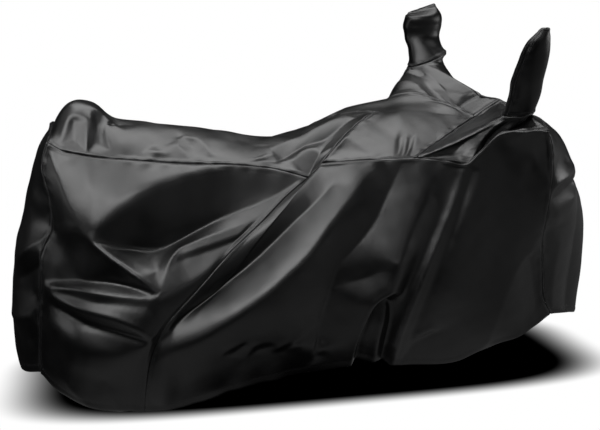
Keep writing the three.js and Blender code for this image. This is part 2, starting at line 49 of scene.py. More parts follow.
# Seams of a side: x, y out from the middle, height.
SEAT_SEAM = [
    (-885, 130, 1040), (-845, 140, 1018), (-808, 150, 1010), (-738, 160, 1000), (-652, 170, 994),
    (-506, 170, 979), (-325, 170, 968), (-202, 180, 951), (-118, 200, 929),
]
NOTCH_SEAM = [(-118, 200, 929), (-95, 200, 955), (-75, 200, 976)]
TANK_SEAM = [(-75, 200, 976), (0, 222, 986), (123, 240, 995), (213, 250, 999)]
BAR_SEAM_RIGHT = [
    (213, 250, 999), (314, 270, 991), (363, 282, 986), (402, 286, 1022), (453, 300, 1081),
    (510, 340, 1100), (576, 380, 1110),
]
BAR_SEAM_LEFT = [
    (213, 250, 999), (275, 275, 1004), (330, 300, 1022), (375, 330, 1060), (410, 360, 1098),
    (440, 385, 1116), (482, 392, 1122),
]
REAR_SEAM = [
    (-885, 130, 1040), (-903, 140, 990), (-887, 168, 880), (-884, 180, 803), (-922, 200, 717),
    (-934, 218, 580), (-943, 220, 446), (-952, 220, 336),
]
FRONT_SEAM_RIGHT = [
    (576, 380, 1110), (612, 355, 1030), (635, 332, 944), (650, 300, 820), (661, 272, 713),
    (692, 242, 590), (728, 218, 470), (768, 200, 405),
]
FRONT_SEAM_LEFT = [
    (482, 392, 1122), (520, 366, 1035), (560, 340, 940), (604, 305, 820), (645, 274, 713),
    (688, 243, 590), (728, 218, 470), (768, 200, 405),
]
JOIN_SEAM_RIGHT = [
    (-118, 200, 929), (-190, 224, 878), (-260, 262, 825), (-375, 316, 740), (-470, 364, 655),
    (-590, 402, 530), (-622, 402, 450), (-638, 392, 352), (-645, 372, 253),
]
JOIN_SEAM_LEFT = [
    (-118, 200, 929), (-190, 222, 878), (-260, 258, 825), (-375, 308, 740), (-470, 352, 655),
    (-590, 384, 530), (-622, 382, 450), (-638, 368, 362), (-645, 345, 275),
]
HEM_REAR_RIGHT = [
    (-952, 220, 336), (-911, 262, 298), (-851, 315, 281), (-777, 350, 268), (-700, 366, 258),
    (-645, 372, 253),
]
HEM_FRONT_RIGHT = [
    (-645, 372, 253), (-550, 374, 254), (-420, 366, 273), (-286, 350, 307), (-153, 332, 307),
    (23, 312, 332), (146, 310, 319), (250, 300, 302), (354, 290, 292), (405, 282, 294), (486, 270, 321),
    (560, 256, 334), (644, 240, 345), (706, 221, 372), (768, 200, 405),
]
HEM_REAR_LEFT = [(-952, 220, 336), (-900, 268, 305), (-800, 318, 285), (-720, 336, 277), (-645, 345, 275)]
HEM_FRONT_LEFT = [
    (-645, 345, 275), (-450, 350, 284), (-250, 340, 300), (-50, 322, 312), (150, 308, 312),
    (350, 292, 306), (520, 268, 324), (660, 236, 352), (768, 200, 405),
]
# Seams that cross the middle: x, y, height.
REAR_HEM = [(-952, -220, 336), (-1006, -140, 300), (-1032, 0, 278), (-1006, 140, 300), (-952, 220, 336)]
FRONT_HEM = [
    (768, -200, 405), (860, -152, 380), (935, -75, 345), (965, 0, 330), (935, 75, 345), (860, 152, 380),
    (768, 200, 405),
]
TANK_FRONT_RIGHT = [
    (213, -250, 999), (279, -180, 1012), (353, -120, 1030), (430, -55, 1050), (498, 0, 1064),
]
TANK_FRONT_LEFT = [
    (498, 0, 1064), (460, 30, 1086), (396, 70, 1104), (314, 120, 1122), (238, 170, 1090), (213, 250, 999),
]
BAR_RIDGE = [(498, 0, 1064), (545, 0, 1096), (585, 0, 1122)]
NOSE_SEAM_RIGHT = [
    (585, 0, 1122), (592, -60, 1112), (610, -120, 1108), (615, -230, 1112), (576, -380, 1110),
]
NOSE_SEAM_LEFT = [(585, 0, 1122), (566, 90, 1112), (558, 170, 1106), (545, 270, 1112), (482, 392, 1122)]
# Middle line of the top: x, y, height.
TOP_LINE = [
    (-874, 0, 1052), (-852, 0, 1088), (-797, 0, 1126), (-761, 0, 1118), (-718, 0, 1083), (-580, 0, 1057),
    (-423, 0, 1037), (-310, 0, 1026), (-194, 0, 1014), (-94, 0, 1017), (-28, 0, 1050), (60, 0, 1075),
    (150, 0, 1086),
]
TOP_ROUND = 1.7
# Length of each seam in a row of seams, as its share of the row.
SEAM_SHARE = {"seat": 22, "notch": 2, "tank": 14, "bar": 13, "half": 5, "ridge": 1}

# How far a side panel swells past its seams, and how the swell rounds off along and down.
SIDE_SWELL = {"rear": 62, "front": 34}
SWELL_ROUND = 0.8
SWELL_DROP = 0.85
# The same for the rear and nose panels: share down the panel, push.
REAR_SWELL = [
    (0, 0), (0.1, 24), (0.19, 50), (0.26, 69), (0.35, 72), (0.43, 54), (0.51, 46), (0.58, 52), (0.65, 54),
    (0.75, 42), (0.88, 26), (0.95, 14), (1, 0),
]
NOSE_SWELL = [
    (0, 0), (0.05, 62), (0.12, 92), (0.2, 106), (0.27, 118), (0.34, 138), (0.42, 155), (0.52, 155),
    (0.66, 124), (0.79, 90), (0.86, 68), (0.94, 30), (1, 0),
]

# How far the pushes are rounded where two rows meet, and at how many spots.
ROW_ROUND = 0.045
ROW_SPOTS = 9

# Creases of a panel. Each row: name, softness, then points (a, b, out) along the crease.
# a and b are places in the panel's own view, seen from its side, its end or above.
# out is how far the cloth stands out there from its plain form. Between creases it lies in facets.
CREASES_REAR_RIGHT = [
    ("tail ridge", 4, [(-885, 1035, 0), (-870, 990, 12), (-855, 950, 20), (-815, 860, 34),
        (-765, 785, 44), (-720, 745, 42), (-670, 710, 38), (-625, 675, 32), (-595, 645, 22)]),
    ("tail light line", 6, [(-770, 1000, 3), (-775, 955, 20), (-765, 915, 30), (-755, 875, 38),
        (-757, 825, 44)]),
    ("upper crest", 11, [(-765, 785, 44), (-725, 830, 44), (-675, 872, 42), (-590, 915, 36),
        (-470, 945, 24), (-330, 965, 4)]),
    ("pocket hollow", 6, [(-735, 775, 20), (-705, 770, -14), (-665, 772, -44), (-615, 772, -62),
        (-565, 778, -70), (-515, 795, -72), (-455, 820, -66), (-395, 842, -54), (-335, 858, -38),
        (-270, 870, -22), (-190, 898, -10), (-145, 922, -3)]),
    ("curl crest", 3, [(-250, 842, -4), (-310, 820, -10), (-365, 807, -14), (-420, 796, -18),
        (-480, 782, -20), (-523, 769, -19), (-547, 748, -12), (-564, 717, -2), (-576, 686, 8),
        (-588, 655, 16)]),
    ("curl foot", 6, [(-552, 770, -52), (-578, 745, -34), (-592, 715, -14), (-598, 680, 8)]),
    ("flap lip", 4, [(-340, 788, -6), (-465, 762, -12), (-515, 752, -14)]),
    ("flap groove", 4, [(-345, 775, -14), (-465, 747, -18), (-515, 738, -17)]),
    ("knot rise", 12, [(-590, 632, 20), (-515, 662, 12), (-420, 710, 6)]),
    ("band hollow", 6, [(-920, 645, 0), (-870, 660, -14), (-800, 675, -24), (-725, 680, -26),
        (-670, 672, -20), (-625, 660, -2), (-600, 650, 14)]),
    ("ledge crest", 4, [(-920, 632, 4), (-870, 645, 10), (-800, 655, 14), (-730, 650, 16),
        (-660, 645, 18), (-615, 640, 20)]),
    ("ledge groove", 4, [(-870, 630, 6), (-815, 628, 5), (-760, 625, 7), (-690, 625, 12),
        (-625, 618, 16)]),
    ("rear crest", 4, [(-915, 615, 4), (-875, 608, 14), (-815, 602, 20), (-760, 595, 24), (-705, 582, 26),
        (-655, 555, 26), (-622, 528, 22)]),
    ("rear valley", 5, [(-910, 585, -2), (-875, 578, -10), (-820, 562, -14), (-760, 550, -14),
        (-705, 538, -10), (-650, 522, 0), (-622, 510, 12)]),
    ("lit facet foot", 15, [(-910, 530, 4), (-880, 525, 10), (-820, 505, 18), (-765, 485, 20),
        (-710, 475, 18), (-660, 485, 14)]),
    ("lower rest", 15, [(-860, 375, 4), (-745, 360, 0)]),
    ("hem ridge", 5, [(-875, 345, 4), (-835, 305, 10), (-800, 270, 12)]),
    ("hem ridge fore", 6, [(-760, 380, 2), (-735, 320, 8), (-715, 262, 10)]),
    ("knot valley", 10, [(-655, 440, 0), (-668, 380, -6), (-680, 320, -8), (-685, 255, -8)]),
]
CREASES_FRONT_RIGHT = [
    ("band valley", 7, [(-55, 925, -6), (-112, 880, -18), (-182, 830, -30), (-252, 775, -44),
        (-340, 708, -54), (-418, 650, -56), (-500, 590, -46), (-558, 543, -24)]),
    ("knot roll", 9, [(-588, 500, 14), (-590, 430, 18), (-592, 350, 17), (-590, 285, 12)]),
    ("knot roll foot", 12, [(-555, 440, 4), (-550, 360, -4), (-548, 280, -8)]),
    ("broad crest", 14, [(110, 985, 2), (45, 935, 8), (-10, 885, 16), (-65, 830, 22), (-110, 775, 25),
        (-160, 725, 27), (-245, 665, 27), (-325, 610, 26), (-410, 555, 24), (-475, 520, 19),
        (-555, 492, 12)]),
    ("long valley", 5, [(170, 990, -2), (140, 940, -8), (105, 880, -13), (75, 825, -16), (35, 775, -19),
        (0, 740, -20), (-35, 705, -21), (-55, 650, -23), (-70, 585, -24), (-85, 520, -24),
        (-95, 450, -20), (-105, 400, -12), (-115, 345, -4)]),
    ("long crest", 12, [(270, 980, 2), (230, 890, 10), (190, 805, 22), (155, 715, 35), (122, 630, 46)]),
    ("crest crease", 3, [(128, 700, 34), (108, 700, 24), (80, 672, 12), (40, 650, -2), (0, 640, -12)]),
    ("lit foot", 12, [(5, 590, 10), (-10, 500, 12), (-22, 420, 14), (-28, 350, 10)]),
    ("front valley", 10, [(340, 975, -4), (285, 835, -12), (220, 685, -20), (178, 575, -24),
        (160, 500, -26), (150, 420, -26)]),
    ("sharp crest", 4, [(365, 985, 0), (340, 910, 2), (310, 830, 4), (280, 760, 6), (250, 690, 9),
        (215, 600, 13), (185, 510, 16), (160, 420, 16), (155, 320, 14)]),
    ("sharp valley", 6, [(385, 965, -4), (345, 830, -6), (290, 680, -8), (235, 485, -6), (205, 350, -2)]),
    ("plane edge", 12, [(415, 965, 2), (375, 860, 4), (325, 700, 4), (270, 515, 4), (235, 420, 2)]),
    ("neck hollow", 16, [(530, 1035, -12), (575, 990, -30), (545, 900, -12)]),
    ("wedge crest", 7, [(655, 705, 4), (610, 675, 12), (570, 640, 20), (550, 575, 22), (530, 490, 22),
        (500, 350, 18)]),
    ("wedge crease", 5, [(625, 650, 0), (655, 580, -6), (695, 475, -8), (715, 390, -4)]),
    ("tuck rear", 4, [(35, 320, -24), (45, 435, -32), (65, 510, -34), (88, 558, -32), (112, 568, -30)]),
    ("tuck lip", 4, [(15, 330, 16), (26, 435, 26), (46, 515, 34), (72, 575, 40), (110, 600, 42),
        (150, 590, 12)]),
    ("tuck tube", 4, [(95, 315, 0), (100, 420, 2), (112, 500, -2), (120, 532, -14)]),
    ("tuck front", 4, [(132, 545, -32), (142, 500, -34), (138, 425, -34), (130, 320, -28)]),
    ("hem wedge valley", 5, [(190, 330, 0), (225, 380, -8), (275, 412, -10), (345, 435, -2)]),
    ("hem wedge crest", 5, [(225, 420, 6), (275, 440, 6)]),
    ("belly edge", 15, [(-595, 470, 16), (-475, 485, 14), (-355, 490, 12), (-195, 450, 12),
        (-85, 410, 8)]),
    ("hem draw", 15, [(-600, 255, -10), (-475, 268, -20), (-350, 285, -24), (-155, 308, -20)]),
    ("belly pucker 1", 5, [(-415, 440, 6), (-390, 468, 13), (-362, 478, 11)]),
    ("belly dent 1", 4, [(-375, 445, 0), (-345, 470, 2)]),
    ("belly pucker 2", 5, [(-335, 420, 4), (-315, 462, 12), (-280, 468, 10)]),
    ("belly dent 2", 4, [(-300, 446, 1), (-262, 452, 3)]),
    ("belly pucker 3", 5, [(-258, 428, 4), (-228, 442, 11), (-205, 466, 10)]),
    ("belly dent 3", 4, [(-215, 425, -2), (-180, 450, 2)]),
]
CREASES_REAR_LEFT = [
    ("tail ridge", 4, [(-880, 1025, 0), (-850, 960, 16), (-800, 870, 30), (-740, 770, 38),
        (-700, 660, 34), (-660, 560, 30)]),
    ("tail light line", 8, [(-780, 985, 4), (-765, 900, 20), (-745, 820, 32)]),
    ("upper crest", 14, [(-735, 770, 38), (-620, 850, 34), (-480, 910, 22), (-320, 955, 4)]),
    ("pocket hollow", 8, [(-680, 730, 10), (-600, 740, -16), (-500, 770, -26), (-380, 820, -20),
        (-250, 870, -10)]),
    ("curl crest", 4, [(-300, 810, 4), (-440, 750, 12), (-540, 690, 18), (-590, 610, 22)]),
    ("band hollow", 6, [(-915, 620, -6), (-820, 630, -22), (-720, 600, -22), (-640, 560, 4)]),
    ("ledge crest", 5, [(-920, 590, 6), (-810, 590, 16), (-700, 560, 20), (-630, 520, 22)]),
    ("lit facet foot", 14, [(-900, 500, 8), (-790, 470, 18), (-680, 440, 16)]),
    ("lower rest", 15, [(-850, 370, 4), (-740, 350, 0)]),
    ("hem ridge", 5, [(-860, 345, 4), (-800, 288, 12)]),
]
CREASES_FRONT_LEFT = [
    ("band valley", 5, [(-70, 920, -6), (-190, 820, -16), (-330, 710, -26), (-460, 600, -28),
        (-545, 510, -14)]),
    ("broad crest", 15, [(110, 985, 4), (10, 850, 16), (-130, 720, 22), (-300, 600, 22),
        (-470, 490, 18)]),
    ("long valley", 5, [(165, 985, -2), (110, 850, -10), (40, 720, -16), (0, 590, -20), (-20, 450, -18),
        (-10, 330, -8)]),
    ("long crest", 14, [(260, 985, 4), (200, 820, 18), (150, 660, 20), (120, 500, 16), (110, 350, 10)]),
    ("front valley", 9, [(320, 1000, -4), (270, 830, -18), (215, 640, -26), (185, 480, -26),
        (175, 330, -18)]),
    ("sharp crest", 4, [(350, 1010, 0), (330, 880, 10), (290, 730, 14), (250, 560, 16), (215, 400, 15),
        (200, 315, 14)]),
    ("plane edge", 12, [(400, 1050, 2), (370, 860, 2), (330, 660, 2), (290, 450, 2)]),
    ("neck hollow", 16, [(455, 1060, -8), (480, 980, -20), (460, 880, -6)]),
    ("wedge crest", 6, [(610, 760, 6), (560, 640, 16), (530, 520, 18), (500, 350, 14)]),
    ("tuck", 5, [(-200, 330, -20), (-185, 420, -24), (-150, 490, -12)]),
    ("belly edge", 15, [(-520, 455, 14), (-350, 470, 12), (-200, 440, 10)]),
    ("hem draw", 15, [(-560, 290, -14), (-420, 300, -22), (-280, 315, -12)]),
]
# On the seat and tank b runs from -200 at the right seam over 0 at the middle to 200 at the left seam.
CREASES_SEAT = [
    ("tail arc", 4, [(-850, -180, 4), (-822, -115, 16), (-785, -62, 22), (-760, -42, 22), (-715, -50, 19),
        (-675, -85, 16), (-655, -115, 13), (-665, -150, 10), (-690, -195, 2)]),
    ("tail rib", 3, [(-765, -55, 22), (-770, -130, 14), (-775, -195, 2)]),
    ("tail rib fore", 3, [(-718, -60, 19), (-718, -125, 14), (-700, -195, 4)]),
    ("tail hollow", 8, [(-805, -110, 2), (-810, -165, -8)]),
    ("tail hollow fore", 8, [(-742, -90, 2), (-742, -155, -8)]),
    ("tail back edge", 3, [(-880, -180, 2), (-852, -110, 14), (-822, -45, 22), (-797, 0, 14),
        (-812, 60, 10), (-840, 110, 10)]),
    ("strip arc", 4, [(-700, -60, 2), (-630, -40, 9), (-600, -80, 8), (-585, -140, 2)]),
    ("strip crease 1", 3, [(-600, -155, 2), (-585, -168, 8), (-560, -165, 7), (-540, -180, 2)]),
    ("strip crease 2", 3, [(-535, -120, 2), (-515, -130, 8), (-495, -150, 6), (-478, -185, 1)]),
    ("strip crease 3", 4, [(-500, -80, 2), (-480, -85, 9), (-450, -90, 9), (-425, -125, 7),
        (-395, -180, 1)]),
    ("strip crease 4", 7, [(-555, 30, 2), (-520, -20, 6), (-490, -70, 6)]),
    ("strip hollow", 8, [(-465, -120, -5), (-450, -165, -4)]),
    ("saddle valley", 5, [(-205, -165, -8), (-190, -150, -16), (-160, -125, -18), (-125, -105, -18),
        (-85, -105, -16), (-45, -95, -15), (5, -62, -14), (55, -25, -10), (105, -10, -4)]),
    ("saddle crest", 8, [(-260, -150, 2), (-185, -85, 7), (-115, -50, 9), (-50, -45, 9), (40, 10, 8)]),
    ("saddle bump", 6, [(-150, -165, 2), (-120, -140, 7), (-85, -135, 9), (-65, -150, 5)]),
    ("seat line", 4, [(-300, -185, 3), (-260, -165, 6), (-215, -135, 3)]),
    ("dip crease", 4, [(-330, -20, -2), (-290, -60, -6), (-240, -90, -2)]),
    ("far arc", 5, [(-840, 140, 8), (-770, 70, 12), (-700, 70, 10), (-640, 130, 4)]),
    ("far crease 1", 5, [(-560, 90, 5), (-500, 140, 7), (-470, 180, 2)]),
    ("far crease 2", 5, [(-400, 80, 4), (-350, 130, 7), (-320, 180, 2)]),
    ("far valley", 8, [(-200, 150, -12), (-120, 100, -14), (-30, 90, -12), (60, 50, -6)]),
]
CREASES_TANK = [
    ("tank arc", 4, [(-60, -190, 2), (-25, -155, 9), (10, -135, 10), (45, -155, 7), (85, -192, 1)]),
    ("tank rib 1", 3, [(30, -128, 9), (55, -155, 6), (95, -190, 1)]),
    ("tank rib 2", 3, [(80, -130, 7), (100, -160, 6), (128, -192, 1)]),
    ("tank hollow", 8, [(0, -165, -3), (30, -175, -3)]),
    ("gather 1", 4, [(180, -115, 3), (160, -155, 4), (140, -192, 2)]),
    ("gather 2", 4, [(215, -105, 3), (195, -150, 5), (168, -195, 2)]),
    ("gather 3", 4, [(245, -105, 3), (222, -150, 5), (192, -195, 2)]),
    ("gather hollow 1", 4, [(195, -120, -2), (178, -160, -3), (155, -194, -2)]),
    ("gather hollow 2", 4, [(230, -120, -2), (208, -160, -3), (180, -194, -2)]),
    ("tank light edge", 8, [(245, 60, 4), (215, -30, 6), (200, -80, 6)]),
    ("tank rise", 8, [(130, -60, -4), (180, 10, -5), (200, 80, -3)]),
    ("tank front edge", 7, [(330, 60, 0), (400, 40, 5), (450, 10, 2)]),
    ("far tank crease", 5, [(60, 110, 6), (110, 150, 7), (130, 190, 2)]),
]
CREASES_REAR = [
    ("rear crest", 5, [(-60, 630, 0), (-100, 660, 8), (-150, 715, 14), (-195, 775, 8)]),
    ("rear crease", 4, [(-60, 580, 0), (-100, 605, -10), (-160, 650, -16), (-215, 695, -8)]),
    ("rear lit top", 5, [(-60, 550, 0), (-130, 578, -8), (-210, 592, -4)]),
    ("rear lit foot", 6, [(-60, 480, 6), (-130, 492, 22), (-195, 515, 16)]),
    ("rear nick", 4, [(-120, 430, 2), (-170, 420, 8), (-205, 400, 4)]),
    ("upper fold", 8, [(-150, 930, 3), (-90, 850, 6), (20, 740, 10), (90, 640, 10)]),
    ("upper hollow", 9, [(20, 950, -4), (60, 860, -10), (110, 770, -12), (150, 700, -8)]),
    ("cross crease", 5, [(40, 560, -6), (90, 600, -14), (160, 650, -8)]),
    ("low fold", 6, [(-40, 470, 3), (-20, 380, 4), (-20, 285, 4)]),
    ("low hollow", 9, [(60, 480, -10), (80, 380, -14), (90, 290, -12)]),
    ("far fold", 6, [(140, 520, 8), (150, 420, 12), (160, 310, 10)]),
]
CREASES_NOSE = [
    ("lamp ledge", 4, [(-340, 915, 6), (-290, 930, 20), (-230, 938, 20), (-150, 955, 8), (0, 965, 2),
        (150, 975, 6), (270, 955, 4)]),
    ("lamp crest", 6, [(-185, 1085, 0), (-215, 1050, 4), (-235, 1010, 2), (-250, 975, 0)]),
    ("lamp face", 5, [(-215, 925, 20), (-215, 880, 14), (-222, 830, 8), (-235, 780, 2)]),
    ("lamp hollow", 8, [(-280, 1040, -8), (-310, 990, -8)]),
    ("under ledge", 9, [(-320, 870, -8), (-270, 890, -8), (0, 900, -2), (200, 905, -6)]),
    ("nose tuck", 4, [(-300, 850, 0), (-270, 800, 8), (-255, 760, 0), (-275, 715, -8)]),
    ("nose valley", 6, [(-160, 850, -4), (-165, 740, -12), (-160, 620, -18), (-155, 500, -18),
        (-145, 380, -12)]),
    ("nose crest", 6, [(-70, 860, 2), (-80, 720, 4), (-80, 580, 5), (-80, 460, 5), (-90, 350, 4)]),
    ("nose fold", 6, [(-230, 680, 4), (-220, 560, 10), (-200, 430, 8)]),
    ("left valley", 8, [(90, 840, -4), (120, 680, -14), (120, 520, -16), (110, 350, -10)]),
    ("left fold", 5, [(170, 860, 6), (170, 700, 14), (150, 540, 16), (140, 360, 12)]),
    ("left tuck", 5, [(290, 850, 0), (250, 720, 8), (240, 600, 0)]),
]
# On the halves of the handlebar cover a runs round the cone, b from its neck down to its edge.
CREASES_BAR_RIGHT = [
    ("bar groove", 4, [(120, 60, -6), (150, 130, -12), (190, 200, -12), (225, 270, -6)]),
    ("bar rib", 4, [(60, 50, 5), (110, 120, 7), (160, 190, 7), (200, 270, 4)]),
    ("bar rib fore", 4, [(180, 60, 6), (210, 130, 8), (240, 200, 6)]),
    ("bar hollow", 8, [(20, 100, -10), (60, 170, -20), (110, 250, -12)]),
    ("bar rib rear", 5, [(960, 60, 4), (940, 150, 6), (920, 240, 3)]),
    ("front hollow", 8, [(400, 80, -5), (420, 160, -8), (430, 240, -4)]),
    ("front rib", 5, [(480, 60, 5), (500, 150, 7), (510, 240, 4)]),
]
CREASES_BAR_LEFT = [
    ("neck groove", 4, [(930, 45, -5), (880, 60, -8), (820, 55, -5)]),
    ("far crease", 4, [(800, 70, 4), (790, 130, 7), (775, 190, 2)]),
    ("far hollow", 6, [(850, 110, -4), (840, 160, -7)]),
    ("far bump", 4, [(960, 170, 3), (930, 150, 7), (890, 190, 5), (870, 250, 2)]),
    ("bar fold", 4, [(990, 215, -3), (930, 225, -5), (880, 250, -2)]),
    ("bar gully", 5, [(880, 285, -4), (850, 235, -16), (800, 215, -22), (750, 225, -18), (710, 260, -6)]),
    ("outer rib", 5, [(250, 60, 5), (240, 160, 8), (230, 250, 4)]),
    ("outer hollow", 8, [(330, 80, -5), (350, 170, -8), (340, 250, -4)]),
]
# On the mirror pockets a runs round from the rear, b from the neck up.
CREASES_POCKET = [
    ("side fold", 8, [(110, 40, 0), (120, 140, 3), (125, 240, 1)]),
    ("far fold", 8, [(300, 40, 0), (310, 150, 3), (300, 240, 1)]),
]
# The net between creases: spots round the border, and how near a crease's end none is put.
NET_STEP = 60
NET_CLEAR = 42
NET_MERGE = 0.5
LINE_STEPS = 3
# Creases with a softness under CRISP_LIMIT stay crisp within reach of their line.
CRISP_LIMIT = 10
CRISP_GAIN = 2
CRISP_REACH = 22
CRISP_CELLS = 0.9
SOFT_CELLS = 3.0
TINY = 1e-9
THIN = 1e-6

# Mirror pockets from the neck up: centre x, y, height, half width along, half depth across,
# rise of the front.
POCKET_RIGHT = [
    (517, -284, 1140, 50, 34, 6), (517, -308, 1200, 50, 36, 4), (505, -342, 1262, 48, 36, 2),
    (502, -374, 1330, 42, 30, 2), (501, -394, 1376, 33, 22, 4), (507, -402, 1401, 20, 13, 4),
    (511, -405, 1412, 8, 5, 2),
]
POCKET_LEFT = [
    (421, 300, 1206, 68, 38, 26), (415, 322, 1244, 58, 36, 12), (407, 346, 1284, 62, 34, 4),
    (409, 352, 1322, 69, 38, 3), (411, 352, 1350, 66, 41, 2), (412, 356, 1364, 56, 32, 8),
    (410, 368, 1378, 44, 6, 16),
]
NECK_START = 0.06
CONE_SAG = {"right": 34, "left": 10}
SAG_REACH = 300
SAG_WAY = (0.8, 0.6)

# Waves of the soft random slack: turn, length and start of each, by its number and by the seed.
WAVES = 7
WAVE_LEVEL = 4.0
WAVE_TURN = {"number": 0.618, "seed": 0.37}
WAVE_SHARE = {"number": 0.754, "seed": 0.569}
WAVE_START = {"number": 2.4, "seed": 1.9}
WAVE_LEAST, WAVE_RANGE = 1.7, 1.6


def smooth(t):
    """Soft step from 0 to 1."""
    t = np.clip(t, 0, 1)
    return t * t * (3 - 2 * t)


def curve(rows, t):
    """Smooth curve through the rows at shares t, spaced by length along the chords."""
    points = np.array(rows, float)
    knots = np.concatenate([[0], np.cumsum(np.linalg.norm(np.diff(points, axis=0), axis=1))])
    knots /= knots[-1]
    steps = np.diff(knots)
    slopes = np.diff(points, axis=0) / steps[:, None]
    tangents = np.empty_like(points)
    tangents[0], tangents[-1] = slopes[0], slopes[-1]
    weighted = slopes[:-1] * steps[1:, None] + slopes[1:] * steps[:-1, None]
    tangents[1:-1] = weighted / (steps[:-1] + steps[1:])[:, None]
    t = np.atleast_1d(np.asarray(t, float))
    i = np.clip(np.searchsorted(knots, t, side="right") - 1, 0, len(steps) - 1)
    h = steps[i]
    s = np.clip((t - knots[i]) / h, 0, 1)[..., None]
    h = h[..., None]
    return (
        (2 * s**3 - 3 * s**2 + 1) * points[i] + (s**3 - 2 * s**2 + s) * h * tangents[i]
        + (3 * s**2 - 2 * s**3) * points[i + 1] + (s**3 - s**2) * h * tangents[i + 1]
    )


def seam(rows, side=1):
    """A seam's rows as a curve. Side is -1 on the right, 1 on the left or where rows hold a true y."""
    placed = [(x, side * y, z) for x, y, z in rows]
    return lambda t: curve(placed, t)


def backwards(line):
    return lambda t: line(1 - np.asarray(t, float))


def joined(*parts):
    """Curves end to end, each with the name of its share of the whole."""
    parts = [(part, SEAM_SHARE[name]) for part, name in parts]
    total = sum(share for _, share in parts)

    def line(t):
        t = np.atleast_1d(np.asarray(t, float)) * total
        out = np.zeros(t.shape + (3,))
        start = 0
        for part, share in parts:
            here = (t >= start - TINY) & (t <= start + share + TINY)
            out[here] = part(np.clip((t[here] - start) / share, 0, 1))
            start += share
        return out

    return line


def amount(rows, share):
    """The rows' value at each share, rounded where two rows meet and exact at both ends."""
    room = np.minimum(ROW_ROUND, np.minimum(share, 1 - share))
    places, values = zip(*rows)
    ways = np.linspace(-1, 1, ROW_SPOTS)
    return np.mean([np.interp(share + way * room, places, values) for way in ways], axis=0)


def between(top, bottom, first, last):
    """Sheet between four seams: top and bottom run along u, first and last along v."""
    c00, c10, c01, c11 = top(0)[0], top(1)[0], bottom(0)[0], bottom(1)[0]

    def surface(u, v):
        upper, lower, left, right = top(u), bottom(u), first(v), last(v)
        u, v = u[..., None], v[..., None]
        return (
            (1 - v) * upper + v * lower + (1 - u) * left + u * right
            - ((1 - u) * (1 - v) * c00 + u * (1 - v) * c10 + (1 - u) * v * c01 + u * v * c11)
        )

    return surface


def arched(right, middle, left):
    """Arched sheet over a right rail, a middle rail and a left rail."""

    def surface(u, v):
        w = 2 * v - 1
        rail = np.where((w < 0)[..., None], right(u), left(u))
        crown = middle(u)
        span = np.abs(w)
        return np.stack([
            crown[..., 0] + (rail[..., 0] - crown[..., 0]) * span,
            crown[..., 1] + (rail[..., 1] - crown[..., 1]) * span,
            crown[..., 2] + (rail[..., 2] - crown[..., 2]) * span**TOP_ROUND,
        ], -1)

    return surface


def grid_shares(across, down):
    """Shares u and v of a grid of so many cells."""
    return np.meshgrid(np.linspace(0, 1, across + 1), np.linspace(0, 1, down + 1), indexing="ij")


def normals(points):
    normal = np.cross(np.gradient(points, axis=0), np.gradient(points, axis=1))
    return normal / np.maximum(np.linalg.norm(normal, axis=-1, keepdims=True), TINY)


def spans(points):
    """Distance along the cloth from each grid point to the start and end of u and to those of v."""
    along = np.linalg.norm(np.diff(points, axis=0), axis=-1)
    down = np.linalg.norm(np.diff(points, axis=1), axis=-1)
    zero_row, zero_column = np.zeros((1, points.shape[1])), np.zeros((points.shape[0], 1))
    from_first = np.concatenate([zero_row, np.cumsum(along, axis=0)])
    from_top = np.concatenate([zero_column, np.cumsum(down, axis=1)], axis=1)
    return from_first, from_first[-1:] - from_first, from_top, from_top[:, -1:] - from_top


def noise(a, b, size, seed):
    """Soft random field, about -1 to 1, with bumps of about that size: a few crossing waves."""
    field = np.zeros(np.broadcast(a, b).shape)
    for number in range(WAVES):
        turn = math.pi * ((number * WAVE_TURN["number"] + seed * WAVE_TURN["seed"]) % 1)
        share = (number * WAVE_SHARE["number"] + seed * WAVE_SHARE["seed"]) % 1
        length = size * (WAVE_LEAST + WAVE_RANGE * share)
        way = a * math.cos(turn) + b * math.sin(turn)
        start = 2 * math.pi * way / length + seed * WAVE_START["seed"]
        field += np.sin(start + number * WAVE_START["number"])
    return field / WAVE_LEVEL


def blurred(field, cells):
    """The field smoothed over so many cells of its grid."""
    reach = int(3 * cells) + 1
    weights = np.exp(-0.5 * (np.arange(-reach, reach + 1) / cells) ** 2)
    weights /= weights.sum()
    for axis in (0, 1):
        size = field.shape[axis]
        padded = np.pad(field, [(reach, reach) if k == axis else (0, 0) for k in (0, 1)], mode="edge")
        field = sum(w * np.take(padded, np.arange(k, k + size), axis=axis) for k, w in enumerate(weights))
    return field


def crease_lines(creases):
    """Each crease as its softness and a smooth row of points (a, b, out)."""
    for _, softness, rows in creases:
        yield softness, curve(rows, np.linspace(0, 1, LINE_STEPS * (len(rows) - 1) + 1))


def border_spots(a, b, creases):
    """Points round a panel's border where the cloth keeps its plain form, clear of ends of creases."""
    ring = np.stack([
        np.concatenate([f[:-1, 0], f[-1, :-1], f[:0:-1, -1], f[0, :0:-1]]) for f in (a, b)
    ], -1)
    gone = np.cumsum(np.linalg.norm(np.diff(ring, axis=0), axis=1))
    picks = np.searchsorted(gone, np.arange(0, gone[-1], NET_STEP))
    ends = np.array([line[k, :2] for _, line in crease_lines(creases) for k in (0, -1)])
    for spot in ring[picks]:
        if np.linalg.norm(ends - spot, axis=1).min() > NET_CLEAR:
            yield spot


